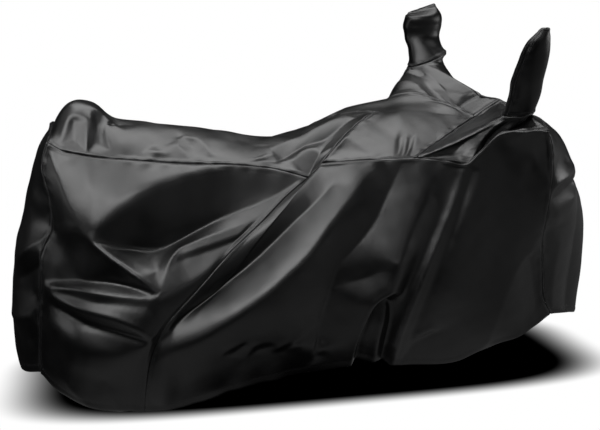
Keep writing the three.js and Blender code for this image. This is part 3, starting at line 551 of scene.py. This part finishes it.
def crease_net(creases, a, b):
    """Height of the cloth over points (a, b): facets between creases, crisp along the crisp ones."""
    spots, outs, edges = [], [], []
    sharp = np.zeros(a.shape)
    for softness, line in crease_lines(creases):
        edges += [(len(spots) + k, len(spots) + k + 1) for k in range(len(line) - 1)]
        spots += [Vector((x, y)) for x, y, _ in line]
        outs += list(line[:, 2])
        crisp = min(1, max(0, (CRISP_LIMIT - softness) / CRISP_LIMIT * CRISP_GAIN))
        for (x, y, _), (x1, y1, _) in zip(line[:-1], line[1:]):
            dx, dy = x1 - x, y1 - y
            w = np.clip(((a - x) * dx + (b - y) * dy) / (dx * dx + dy * dy + TINY), 0, 1)
            near = np.exp(-((a - x - w * dx) ** 2 + (b - y - w * dy) ** 2) / CRISP_REACH**2)
            sharp = np.maximum(sharp, crisp * near)
    for spot in border_spots(a, b, creases):
        spots.append(Vector(spot))
        outs.append(0)
    made, _, faces, origin, _, _ = delaunay_2d_cdt(spots, edges, [], 0, NET_MERGE, True)
    outs = np.array(outs)
    known = np.array(spots)
    level = []
    for vert, source in zip(made, origin):
        if source:
            level.append(outs[list(source)].mean())
        else:
            far = np.linalg.norm(known - np.array(vert), axis=1)
            level.append(outs[np.argsort(far)[:2]].mean())
    height = np.zeros(a.shape)
    for face in faces:
        (x0, y0), (x1, y1), (x2, y2) = [made[k] for k in face]
        size = (x1 - x0) * (y2 - y0) - (x2 - x0) * (y1 - y0)
        if abs(size) < THIN:
            continue
        w1 = ((a - x0) * (y2 - y0) - (x2 - x0) * (b - y0)) / size
        w2 = ((x1 - x0) * (b - y0) - (a - x0) * (y1 - y0)) / size
        inside = (w1 >= -THIN) & (w2 >= -THIN) & (w1 + w2 <= 1 + THIN)
        z0, z1, z2 = [level[k] for k in face]
        height = np.where(inside, z0 + (z1 - z0) * w1 + (z2 - z0) * w2, height)
    return blurred(height, CRISP_CELLS * FINE) * sharp + blurred(height, SOFT_CELLS * FINE) * (1 - sharp)


# A panel's first and last border along it. The join of a side's two panels lies flush.
FIRST, LAST = 0, 1
# Slack between the creases: size of its bumps, height.
SLACK = [(150, 2.6), (62, 1.1), (27, 0.35)]
SLACK_SEED = 40
# The roll of cloth beside a seam, and how the creases fade towards it.
SEAM_FADE = 16
SEAM_ROLL = 2.2
ROLL_WIDTH = 4.5
ROLL_FALL = 12
# Puckers beside a seam, small ones and wide ones over them, drawn out across the seam.
PUCKER = 2.2
PUCKER_START = 6
PUCKER_REACH = 42
PUCKER_FADE = 1.5
PUCKER_SIZE = 19
PUCKER_STRETCH = 0.22
PUCKER_SHIFT = 37
WIDE_SHARE = 0.6
WIDE_SIZE = 2.3
WIDE_STRETCH = 0.25
WIDE_SEED = 9
# The turned hem: its width, its step, and the line pressed in by its stitches.
HEM_BAND = 22
HEM_STEP = 0.8
HEM_PRESS = 1.0
HEM_EASE = 4
HEM_INSET = 2
# Distance in metres from a seam to its first row of stitches.
STITCH_GAP = 0.005


def sewn(points, a, b, creases, flip, hem=False, seed=1, flush=None):
    """The cloth of one panel with creases, puckers and hem, and the places that its finish needs."""
    height = crease_net(creases, a, b)
    for number, (size, push) in enumerate(SLACK):
        height = height + push * noise(a, b, size, seed + SLACK_SEED + number)
    first, last, top, bottom = spans(points)
    seams = [(first, top), (last, top), (top, first)] + ([] if hem else [(bottom, first)])
    for gap, _ in seams:
        height = height * smooth(gap / SEAM_FADE)
    for number, (gap, along) in enumerate(seams):
        if number == flush:
            continue
        small = noise(along + PUCKER_SHIFT * number, gap * PUCKER_STRETCH, PUCKER_SIZE, seed + number)
        wide = noise(along, gap * WIDE_STRETCH, PUCKER_SIZE * WIDE_SIZE, seed + WIDE_SEED + number)
        ripple = small + WIDE_SHARE * wide
        fade = np.clip(1 - gap / PUCKER_REACH, 0, 1) ** PUCKER_FADE
        height = height + PUCKER * ripple * fade * smooth(gap / PUCKER_START)
        fall = 1 - smooth((gap - ROLL_WIDTH) / ROLL_FALL)
        height = height + SEAM_ROLL * smooth(gap / ROLL_WIDTH) * fall
    if hem:
        height = height + HEM_STEP * smooth((HEM_BAND - bottom) / HEM_EASE)
        pressed = np.clip(1 - np.abs(bottom - HEM_BAND + HEM_INSET) / HEM_EASE, 0, 1)
        height = height - HEM_PRESS * pressed
        seams = seams + [(np.maximum(bottom - HEM_BAND + STITCH_GAP / MM, 0), first)]
    gaps = np.stack([gap for gap, _ in seams])
    nearest = gaps.argmin(0)[None]
    ways = np.stack([np.broadcast_to(way, a.shape) for _, way in seams])
    along = np.take_along_axis(ways, nearest, 0)[0]
    finish = np.stack([first, top, np.take_along_axis(gaps, nearest, 0)[0], along], -1) * MM
    return points + normals(points) * (height * (-1 if flip else 1))[..., None], finish


def leaned(points):
    """Upright millimetres to metres in the leaning frame with its origin at the carrier."""
    c, s = math.cos(LEAN), math.sin(LEAN)

    def turn(p):
        return np.stack([p[..., 0], p[..., 1] * c - p[..., 2] * s, p[..., 1] * s + p[..., 2] * c], -1)

    return (turn(points) - turn(CARRIER)) * MM


# Half width of the plain grid that a piece starts from, and in metres the gap that is closed up
# and how far below its top a pocket's rim still belongs to its lid.
GRID_HALF = 0.5
CLOSE_GAP = 0.0002
LID_REACH = 0.06


def cloth_piece(name, cloth, flip, material, node, closed=False, cap=False):
    """One sewn piece of cloth from its grid, given its thickness inward."""
    points, finish = cloth
    points = leaned(points)
    across, down = points.shape[0] - 1, points.shape[1] - 1
    bm = bmesh.new()
    weave = bm.verts.layers.float_vector.new("cloth_at")
    stitch = bm.verts.layers.float_vector.new("stitch_at")
    made = bmesh.ops.create_grid(bm, x_segments=across, y_segments=down, size=GRID_HALF)["verts"]
    for vert in made:
        i = int(round((vert.co.x + GRID_HALF) * across))
        j = int(round((vert.co.y + GRID_HALF) * down))
        vert.co = points[i, j]
        warp, weft, gap, along = finish[i, j]
        vert[weave] = (warp, weft, 0)
        vert[stitch] = (along, gap, 0)
    if flip:
        bmesh.ops.reverse_faces(bm, faces=bm.faces)
    if closed:
        bmesh.ops.remove_doubles(bm, verts=bm.verts, dist=CLOSE_GAP)
    if cap:
        rim = [edge for edge in bm.edges if edge.is_boundary]
        top = max(vert.co.z for edge in rim for vert in edge.verts)
        lid = [edge for edge in rim if all(vert.co.z > top - LID_REACH for vert in edge.verts)]
        face = bmesh.ops.contextual_create(bm, geom=lid)["faces"]
        bmesh.ops.poke(bm, faces=face)
        bmesh.ops.recalc_face_normals(bm, faces=bm.faces)
    for face in bm.faces:
        face.smooth = True
    mesh = bpy.data.meshes.new(name)
    bm.to_mesh(mesh)
    bm.free()
    piece = bpy.data.objects.new(name, mesh)
    bpy.context.collection.objects.link(piece)
    mesh.materials.append(material)
    solid = piece.modifiers.new("thickness", "SOLIDIFY")
    solid.thickness = CLOTH
    solid.offset = -1
    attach(piece, "root")
    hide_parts(node)
    return piece


def place(tree, kind, values=None, **settings):
    """A node with its settings. An input is linked where its value is a socket, else set."""
    node = tree.nodes.new(kind)
    for key, value in settings.items():
        setattr(node, key, value)
    for key, value in (values or {}).items():
        if isinstance(value, bpy.types.NodeSocket):
            tree.links.new(value, node.inputs[key])
        else:
            node.inputs[key].default_value = value
    return node


def group(name, inputs, outputs):
    """A shader node group with named inputs and outputs; each input is its kind and value."""
    tree = bpy.data.node_groups.new(name, "ShaderNodeTree")
    for label, (kind, value) in inputs.items():
        socket = tree.interface.new_socket(label, in_out="INPUT", socket_type=kind)
        if value is not None:
            socket.default_value = value
    for label, kind in outputs.items():
        tree.interface.new_socket(label, in_out="OUTPUT", socket_type=kind)
    return tree, tree.nodes.new("NodeGroupInput").outputs, tree.nodes.new("NodeGroupOutput").inputs


def maths(tree, operation, first, second=0.0, third=0.0):
    values = {0: first, 1: second}
    if operation == "MULTIPLY_ADD":
        values[2] = third
    return place(tree, "ShaderNodeMath", values, operation=operation).outputs[0]


def mapped(tree, value, low, high, to_low=0.0, to_high=1.0):
    return place(tree, "ShaderNodeMapRange", {0: value, 1: low, 2: high, 3: to_low, 4: to_high},
                 interpolation_type="SMOOTHSTEP").outputs[0]


def clouds(tree, vector, scale, detail):
    """Soft random patches."""
    values = {"Vector": vector, "Scale": scale, "Detail": detail}
    return place(tree, "ShaderNodeTexNoise", values).outputs[0]


def dented(tree, strength, depth, height, normal=None):
    """A small relief, over another one where that is given."""
    values = {"Strength": strength, "Distance": depth, "Height": height}
    if normal is not None:
        values["Normal"] = normal
    return place(tree, "ShaderNodeBump", values).outputs[0]


# Weave: threads in a metre, how much slubs show in it, and patches of slightly other tone.
THREADS = 900.0
SLUB_SHARE = 0.3
SLUB_SCALE = 240.0
TONE_SCALE = 9.0
TONE_RANGE = (0.3, 0.7)
# Stitches in metres: their pitch, and where a thread's side fades. The dash is a share of the pitch.
PITCH = 0.004
THREAD_SIDE = (0.0003, 0.0007)
DASH_END = (0.32, 0.42)
# Wear: how sharp a crest has to be, what faces up, and the patches of both.
CREST_RANGE = (0.505, 0.56)
RUB_SCALE = 60.0
RUB_RANGE = (0.35, 0.65)
UP_RANGE = (0.3, 1.0)
DUST_SCALE = 7.0
DUST_RANGE = (0.4, 0.7)


def weave_group():
    """Plain weave under a thin coating: threads both ways, with slubs."""
    tree, given, out = group("coated_weave", {
        "Cloth": ("NodeSocketVector", None),
        "Threads": ("NodeSocketFloat", THREADS),
        "Slubs": ("NodeSocketFloat", SLUB_SHARE),
    }, {"Height": "NodeSocketFloat", "Tone": "NodeSocketFloat"})
    parts = place(tree, "ShaderNodeSeparateXYZ", {0: given["Cloth"]}).outputs
    rate = maths(tree, "MULTIPLY", given["Threads"], 2 * math.pi)
    warp = maths(tree, "SINE", maths(tree, "MULTIPLY", parts[0], rate))
    weft = maths(tree, "SINE", maths(tree, "MULTIPLY", parts[1], rate))
    slub = clouds(tree, given["Cloth"], SLUB_SCALE, 1.0)
    threads = maths(tree, "MULTIPLY", warp, weft)
    height = maths(tree, "MULTIPLY_ADD", slub, given["Slubs"], threads)
    tree.links.new(height, out["Height"])
    tone = clouds(tree, given["Cloth"], TONE_SCALE, 3.0)
    tree.links.new(mapped(tree, tone, *TONE_RANGE), out["Tone"])
    return tree


def stitch_group():
    """Two rows of thread beside a seam, from the way along it and the gap to it."""
    tree, given, out = group("seam_stitches", {
        "Seam": ("NodeSocketVector", None),
        "Gap": ("NodeSocketFloat", STITCH_GAP),
        "Pitch": ("NodeSocketFloat", PITCH),
    }, {"Thread": "NodeSocketFloat"})
    parts = place(tree, "ShaderNodeSeparateXYZ", {0: given["Seam"]}).outputs
    rows = []
    for number in (1, 2):
        middle = maths(tree, "MULTIPLY", given["Gap"], float(number))
        off = maths(tree, "ABSOLUTE", maths(tree, "SUBTRACT", parts[1], middle))
        rows.append(mapped(tree, off, *THREAD_SIDE, 1.0, 0.0))
    beat = maths(tree, "FRACT", maths(tree, "DIVIDE", parts[0], given["Pitch"]))
    off_beat = maths(tree, "ABSOLUTE", maths(tree, "SUBTRACT", beat, 0.5))
    dash = mapped(tree, off_beat, *DASH_END, 1.0, 0.0)
    thread = maths(tree, "MULTIPLY", maths(tree, "MAXIMUM", rows[0], rows[1]), dash)
    tree.links.new(thread, out["Thread"])
    return tree


def wear_group():
    """Rubbed crests and a film of dust on what faces up."""
    tree, given, out = group("rub_and_dust", {
        "Where": ("NodeSocketVector", None),
        "Rub": ("NodeSocketFloat", 0.5),
        "Dust": ("NodeSocketFloat", 0.3),
    }, {"Rubbed": "NodeSocketFloat", "Dusty": "NodeSocketFloat"})
    shape = place(tree, "ShaderNodeNewGeometry").outputs
    crest = mapped(tree, shape["Pointiness"], *CREST_RANGE)
    patch = mapped(tree, clouds(tree, given["Where"], RUB_SCALE, 2.0), *RUB_RANGE)
    rubbed = maths(tree, "MULTIPLY", maths(tree, "MULTIPLY", crest, patch), given["Rub"])
    tree.links.new(rubbed, out["Rubbed"])
    facing = place(tree, "ShaderNodeSeparateXYZ", {0: shape["Normal"]}).outputs[2]
    up = mapped(tree, facing, *UP_RANGE)
    cloud = mapped(tree, clouds(tree, given["Where"], DUST_SCALE, 4.0), *DUST_RANGE)
    dusty = maths(tree, "MULTIPLY", maths(tree, "MULTIPLY", up, cloud), given["Dust"])
    tree.links.new(dusty, out["Dusty"])
    return tree


WEAVE, STITCHES, WEAR = weave_group(), stitch_group(), wear_group()


def blend(tree, share, first, second):
    return place(tree, "ShaderNodeMix", {0: share, 6: first, 7: second}, data_type="RGBA").outputs[2]


def use(tree, shared, values):
    """A shared group in a material, with this material's values."""
    return place(tree, "ShaderNodeGroup", values, node_tree=shared).outputs


# Colours of rubbed cloth, of dust and of thread.
RUBBED_TINT = (0.016, 0.016, 0.017, 1)
DUST_TINT = (0.022, 0.022, 0.021, 1)
THREAD_TINT = (0.012, 0.012, 0.013, 1)
# Roughness: how far it varies with the tone, and what dust and thread add.
ROUGH_SPREAD = 0.03
DUST_ROUGH = 0.25
THREAD_ROUGH = 0.2
# Relief: size and depth of the fine crinkle, then strength and depth of weave and of thread.
CRINKLE_SCALE = 38.0
CRINKLE_DEPTH = 0.003
WEAVE_RELIEF = (0.12, 0.00012)
THREAD_RELIEF = (0.5, 0.0005)


def coated_cloth(name, black, faded, rough, gloss, crinkle):
    """Black coated cloth with a satin face: weave, stitches, rubbed crests and a little dust."""
    material = bpy.data.materials.new(name)
    material.use_nodes = True
    tree = material.node_tree
    shader = tree.nodes["Principled BSDF"]
    shader.inputs["Specular IOR Level"].default_value = gloss
    cloth_at = place(tree, "ShaderNodeAttribute", attribute_name="cloth_at").outputs["Vector"]
    stitch_at = place(tree, "ShaderNodeAttribute", attribute_name="stitch_at").outputs["Vector"]
    where = place(tree, "ShaderNodeTexCoord").outputs["Object"]
    weave = use(tree, WEAVE, {"Cloth": cloth_at})
    thread = use(tree, STITCHES, {"Seam": stitch_at})["Thread"]
    wear = use(tree, WEAR, {"Where": where})
    colour = blend(tree, weave["Tone"], (*black, 1), (*faded, 1))
    colour = blend(tree, wear["Rubbed"], colour, RUBBED_TINT)
    colour = blend(tree, wear["Dusty"], colour, DUST_TINT)
    colour = blend(tree, thread, colour, THREAD_TINT)
    tree.links.new(colour, shader.inputs["Base Color"])
    shine = mapped(tree, weave["Tone"], 0.0, 1.0, rough - ROUGH_SPREAD, rough + ROUGH_SPREAD)
    shine = maths(tree, "MULTIPLY_ADD", wear["Dusty"], DUST_ROUGH, shine)
    shine = maths(tree, "MULTIPLY_ADD", thread, THREAD_ROUGH, shine)
    tree.links.new(shine, shader.inputs["Roughness"])
    fine = clouds(tree, where, CRINKLE_SCALE, 3.0)
    crushed = dented(tree, crinkle, CRINKLE_DEPTH, fine)
    woven = dented(tree, *WEAVE_RELIEF, weave["Height"], crushed)
    sewn_in = dented(tree, *THREAD_RELIEF, thread, woven)
    tree.links.new(sewn_in, shader.inputs["Normal"])
    return material


coated = coated_cloth(
    "coated_cloth", (0.0009, 0.00095, 0.0011), (0.0020, 0.0021, 0.0023), 0.37, 0.75, 0.08,
)
smooth_coated = coated_cloth(
    "pocket_cloth", (0.001, 0.00105, 0.0012), (0.0018, 0.0019, 0.0021), 0.36, 0.5, 0.04,
)
LEAST_CELLS = 4


def count(cells):
    return max(LEAST_CELLS, int(round(cells * FINE)))


# Side panels. On each side one lies behind the join seam and one in front of it.
def side_surface(top, hem, first, last, push):
    flat = between(top, hem, first, last)

    def surface(u, v):
        points = flat(u, v)
        points[..., 1] += push * np.sin(np.pi * u) ** SWELL_ROUND * np.sin(np.pi * v**SWELL_DROP)
        return points

    return surface


def side_forms(side, join, hems, bar, front):
    """Base forms of the two panels of a side."""
    behind = side_surface(
        seam(SEAT_SEAM, side), seam(hems[0], side), seam(REAR_SEAM, side), seam(join, side),
        side * SIDE_SWELL["rear"],
    )
    top = joined((seam(NOTCH_SEAM, side), "notch"), (seam(TANK_SEAM, side), "tank"), (seam(bar, side), "bar"))
    ahead = side_surface(
        top, seam(hems[1], side), seam(join, side), seam(front, side), side * SIDE_SWELL["front"],
    )
    return behind, ahead


def side_cloth(form, grid, creases, side, seed, flush):
    points = form(*grid)
    along, height = points[..., 0], points[..., 2]
    return sewn(points, along, height, creases, side < 0, hem=True, seed=seed, flush=flush)


rear_grid = grid_shares(count(150), count(128))
front_grid = grid_shares(count(230), count(140))
# Each side: name, way, join, hems, bar seam, front seam, creases behind and ahead, seed.
SIDES = [
    ("right", -1, JOIN_SEAM_RIGHT, (HEM_REAR_RIGHT, HEM_FRONT_RIGHT), BAR_SEAM_RIGHT, FRONT_SEAM_RIGHT,
     CREASES_REAR_RIGHT, CREASES_FRONT_RIGHT, 1),
    ("left", 1, JOIN_SEAM_LEFT, (HEM_REAR_LEFT, HEM_FRONT_LEFT), BAR_SEAM_LEFT, FRONT_SEAM_LEFT,
     CREASES_REAR_LEFT, CREASES_FRONT_LEFT, 21),
]
for name, side, join, hems, bar, front, rear_creases, front_creases, seed in SIDES:
    behind, ahead = side_forms(side, join, hems, bar, front)
    cloth = side_cloth(behind, rear_grid, rear_creases, side, seed, LAST)
    cloth_piece(f"side_rear_{name}_cloth", cloth, side < 0, coated, f"side_rear_{name}")
    cloth = side_cloth(ahead, front_grid, front_creases, side, seed + 4, FIRST)
    cloth_piece(f"side_front_{name}_cloth", cloth, side < 0, coated, f"side_front_{name}")

# Seat and tank tops. Their creases are placed by x and by the way across, up to HALF_TOP.
HALF_TOP = 200


def top_rail(side):
    return joined((seam(SEAT_SEAM, side), "seat"), (seam(NOTCH_SEAM, side), "notch"))


def top_cloth(points, v, creases, seed):
    return sewn(points, points[..., 0], (2 * v - 1) * HALF_TOP, creases, False, seed=seed)


seat = arched(top_rail(-1), seam(TOP_LINE), top_rail(1))
u, v = grid_shares(count(200), count(90))
cloth = top_cloth(seat(u, v), v, CREASES_SEAT, 41)
cloth_piece("seat_cloth", cloth, False, coated, "seat_top")


def seat_end(u):
    """The rear (0) or front (1) edge of the seat as a curve across."""

    def edge(v):
        v = np.atleast_1d(np.asarray(v, float))
        return seat(np.full(v.shape, float(u)), v)

    return edge


tank_front = joined((seam(TANK_FRONT_RIGHT), "half"), (seam(TANK_FRONT_LEFT), "half"))
tank = between(seam(TANK_SEAM, -1), seam(TANK_SEAM, 1), seat_end(1), tank_front)
u, v = grid_shares(count(90), count(110))
cloth = top_cloth(tank(u, v), v, CREASES_TANK, 51)
cloth_piece("tank_cloth", cloth, False, coated, "tank_top")


# Rear and nose panels, u from the right seam to the left one.
def end_cloth(points, creases, flip, seed):
    return sewn(points, points[..., 1], points[..., 2], creases, flip, hem=True, seed=seed)


rear_flat = between(seat_end(0), seam(REAR_HEM), seam(REAR_SEAM, -1), seam(REAR_SEAM, 1))
u, v = grid_shares(count(90), count(150))
points = rear_flat(u, v)
points[..., 0] -= amount(REAR_SWELL, v) * np.sin(np.pi * u)
cloth = end_cloth(points, CREASES_REAR, False, 61)
cloth_piece("rear_cloth", cloth, False, coated, "rear_panel")
nose_seam = joined((backwards(seam(NOSE_SEAM_RIGHT)), "half"), (seam(NOSE_SEAM_LEFT), "half"))
nose_flat = between(nose_seam, seam(FRONT_HEM), seam(FRONT_SEAM_RIGHT, -1), seam(FRONT_SEAM_LEFT, 1))
u, v = grid_shares(count(130), count(150))
points = nose_flat(u, v)
points[..., 0] += amount(NOSE_SWELL, v) * np.sin(np.pi * u) ** SWELL_ROUND
cloth = end_cloth(points, CREASES_NOSE, True, 71)
cloth_piece("nose_cloth", cloth, True, coated, "nose_panel")


# Spacing of the pocket rows for their curves, and lengths that place the creases round and down.
KNOT_GAP = 100
ROUND_CONE = 1000
DOWN_CONE = 300
ROUND_POCKET = 400


def ring_points(columns, turn, way):
    """Points of pocket rings: turn runs round from the rear, way is the side."""
    x, y, z, wide, deep, rise = [columns[..., i] for i in range(6)]
    along = -np.cos(2 * np.pi * turn)
    return np.stack([x + along * wide, y + way * np.sin(2 * np.pi * turn) * deep, z + along * rise], -1)


def pocket_section(rows, s):
    """The columns of the pocket table at shares s."""
    knots = np.arange(len(rows))
    columns = []
    for c in range(6):
        line = [(k * KNOT_GAP, row[c], 0) for k, row in zip(knots, rows)]
        columns.append(curve(line, s)[..., 1])
    return np.stack(columns, -1)


def bar_half(side, outline, rows, sag, creases, folds, seed):
    """Half of the handlebar cover with its cone, and the mirror pocket on it."""
    turn, s = grid_shares(count(168), count(60))
    shape = turn.shape
    edge = outline(turn.ravel()).reshape(shape + (3,))
    neck = pocket_section(rows, np.zeros(shape).ravel()).reshape(shape + (6,))
    ring = ring_points(neck, NECK_START + turn, side)
    points = ring + (edge - ring) * s[..., None]
    depth = np.sin(np.pi * s) * sag * smooth(np.linalg.norm(edge - ring, axis=-1) / SAG_REACH)
    points[..., 1] -= side * depth * SAG_WAY[0]
    points[..., 2] -= depth * SAG_WAY[1]
    cover = sewn(points, turn * ROUND_CONE, s * DOWN_CONE, creases, side < 0, seed=seed)
    cover[0][-1] = cover[0][0]
    turn, s = grid_shares(count(120), count(100))
    section = pocket_section(rows, s.ravel()).reshape(s.shape + (6,))
    points = ring_points(section, NECK_START + turn, side)
    pocket = sewn(points, turn * ROUND_POCKET, s * DOWN_CONE, folds, side > 0, seed=seed + 4)
    pocket[0][-1] = pocket[0][0]
    return cover, pocket


def outline(side, bar, nose, tank_edge):
    """The seam round a half of the handlebar cover."""
    return joined(
        (seam(bar, side), "bar"), (backwards(seam(nose)), "half"),
        (backwards(seam(BAR_RIDGE)), "ridge"), (tank_edge, "half"),
    )


right_outline = outline(-1, BAR_SEAM_RIGHT, NOSE_SEAM_RIGHT, backwards(seam(TANK_FRONT_RIGHT)))
left_outline = outline(1, BAR_SEAM_LEFT, NOSE_SEAM_LEFT, seam(TANK_FRONT_LEFT))
right_cover, right_pocket = bar_half(
    -1, right_outline, POCKET_RIGHT, CONE_SAG["right"], CREASES_BAR_RIGHT, CREASES_POCKET, 81,
)
left_cover, left_pocket = bar_half(
    1, left_outline, POCKET_LEFT, CONE_SAG["left"], CREASES_BAR_LEFT, CREASES_POCKET, 91,
)
for name, cloth, flip in (("right", right_cover, True), ("left", left_cover, False)):
    node = f"handlebar_cover_{name}"
    cloth_piece(f"handlebar_{name}_cloth", cloth, flip, coated, node, closed=True)
for name, cloth, flip in (("right", right_pocket, False), ("left", left_pocket, True)):
    node = f"mirror_pocket_{name}"
    cloth_piece(f"{node}_cloth", cloth, flip, smooth_coated, node, closed=True, cap=True)

# Stage: pale floor with a painted contact shadow, white behind it, soft lights and the camera.
FLOOR_SIZE = 40.0
FLOOR_CELLS = 8
FLOOR_BACK = 6.0
# The light that the floor gives off: a near pool in a ring, and a wash that rises to the right.
POOL_MIDDLE = (0.1, 0.0, GROUND)
POOL_INNER = (0.35, 0.6)
POOL_OUTER = (0.85, 1.3)
GLOW_NEAR = 0.2
WASH_CLEAR = (0.6, 1.0)
WASH_RISE = (0.1, 1.5, 0.008, 0.14)
# The shadow: middle, half size, how square it is and where its border fades.
SHADOW_MIDDLE = (0.27, 0.60, 0.0)
SHADOW_HALF = (1.17, 0.46, 1.0)
SHADOW_SQUARE = 4.0
SHADOW_FADE = (0.55, 1.45)
AROUND = 0.01
BLACK = (0.0, 0.0, 0.0, 1)
WHITE = (1, 1, 1, 1)
bm = bmesh.new()
bmesh.ops.create_grid(bm, x_segments=FLOOR_CELLS, y_segments=FLOOR_CELLS, size=FLOOR_SIZE / 2)
bmesh.ops.translate(bm, verts=bm.verts, vec=(0, FLOOR_BACK, GROUND))
floor_mesh = bpy.data.meshes.new("floor")
bm.to_mesh(floor_mesh)
bm.free()
floor = bpy.data.objects.new("floor", floor_mesh)
bpy.context.collection.objects.link(floor)
pale = bpy.data.materials.new("pale_floor")
pale.use_nodes = True
tree = pale.node_tree
where = place(tree, "ShaderNodeTexCoord").outputs["Object"]
apart = {0: where, 1: POOL_MIDDLE}
reach = place(tree, "ShaderNodeVectorMath", apart, operation="DISTANCE").outputs["Value"]
ring = (mapped(tree, reach, *POOL_INNER), mapped(tree, reach, *POOL_OUTER, GLOW_NEAR, 0.0))
pool = maths(tree, "MULTIPLY", *ring)
wash = mapped(tree, place(tree, "ShaderNodeSeparateXYZ", {0: where}).outputs[0], *WASH_RISE)
glow = maths(tree, "MAXIMUM", pool, maths(tree, "MULTIPLY", mapped(tree, reach, *WASH_CLEAR), wash))
dim = place(tree, "ShaderNodeEmission", {"Color": WHITE, "Strength": glow}).outputs[0]
under = where
for value, way in ((SHADOW_MIDDLE, "SUBTRACT"), (SHADOW_HALF, "DIVIDE")):
    under = place(tree, "ShaderNodeVectorMath", {0: under, 1: value}, operation=way).outputs[0]
under = place(tree, "ShaderNodeSeparateXYZ", {0: under}).outputs
along = maths(tree, "POWER", maths(tree, "ABSOLUTE", under[0]), SHADOW_SQUARE)
across = maths(tree, "POWER", maths(tree, "ABSOLUTE", under[1]), SHADOW_SQUARE)
bare = mapped(tree, maths(tree, "ADD", along, across), *SHADOW_FADE)
seen = place(tree, "ShaderNodeEmission", {"Color": blend(tree, bare, BLACK, WHITE)}).outputs[0]
ray = place(tree, "ShaderNodeLightPath").outputs["Is Camera Ray"]
result = place(tree, "ShaderNodeMixShader", {0: ray, 1: dim, 2: seen}).outputs[0]
tree.links.new(result, tree.nodes["Material Output"].inputs["Surface"])
floor_mesh.materials.append(pale)

world = bpy.context.scene.world or bpy.data.worlds.new("studio")
bpy.context.scene.world = world
world.use_nodes = True
tree = world.node_tree
tree.nodes.clear()
around = place(tree, "ShaderNodeBackground", {"Color": WHITE, "Strength": AROUND}).outputs[0]
white = place(tree, "ShaderNodeBackground", {"Color": WHITE, "Strength": 1.0}).outputs[0]
ray = place(tree, "ShaderNodeLightPath").outputs["Is Camera Ray"]
sky = place(tree, "ShaderNodeMixShader", {0: ray, 1: around, 2: white}).outputs[0]
place(tree, "ShaderNodeOutputWorld", {"Surface": sky})

# Soft lights: name, place, point aimed at, width, depth, power.
LIGHTS = [
    ("key", (-1.35, -2.0, 1.9), (-0.1, 0.0, -0.1), 2.6, 1.9, 64),
    ("top", (0.2, 0.2, 2.6), (0.2, 0.1, 0.0), 3.4, 2.0, 77),
    ("fill", (-0.6, -4.4, 0.7), (0.0, 0.0, -0.2), 6.0, 1.6, 11),
    ("side", (2.8, -0.6, 0.4), (0.9, 0.0, -0.1), 1.0, 1.4, 14),
    ("rear", (-3.4, -0.3, 0.6), (-0.95, 0.0, -0.3), 1.4, 1.2, 8),
]
for name, spot, aim, wide, deep, power in LIGHTS:
    lamp = bpy.data.lights.new(name, "AREA")
    lamp.shape = "RECTANGLE"
    lamp.size, lamp.size_y, lamp.energy = wide, deep, power
    holder = bpy.data.objects.new(name, lamp)
    holder.location = spot
    holder.rotation_euler = (Vector(aim) - Vector(spot)).to_track_quat("-Z", "Y").to_euler()
    bpy.context.collection.objects.link(holder)

# Camera: place, turn and rise of its view, lens and sensor in millimetres, and shift.
CAMERA_AT = Vector((-0.5114, -2.8823, 0.2861))
CAMERA_TURN = math.radians(-13)
CAMERA_RISE = math.radians(13)
CAMERA_LENS = 54
CAMERA_SENSOR = 36
CAMERA_SHIFT = (-0.0338, 0.0717)
back = Vector((
    math.sin(CAMERA_TURN) * math.cos(CAMERA_RISE),
    -math.cos(CAMERA_TURN) * math.cos(CAMERA_RISE),
    math.sin(CAMERA_RISE),
))
right = Vector((math.cos(CAMERA_TURN), math.sin(CAMERA_TURN), 0))
up = back.cross(right)
lens = bpy.data.cameras.new("camera")
lens.lens = CAMERA_LENS
lens.sensor_width = CAMERA_SENSOR
lens.shift_x, lens.shift_y = CAMERA_SHIFT
camera = bpy.data.objects.new("camera", lens)
camera.matrix_world = Matrix((
    (right.x, up.x, back.x, CAMERA_AT.x), (right.y, up.y, back.y, CAMERA_AT.y),
    (right.z, up.z, back.z, CAMERA_AT.z), (0, 0, 0, 1),
))
bpy.context.collection.objects.link(camera)
bpy.context.scene.camera = camera
bpy.context.scene.view_settings.view_transform = "Standard"
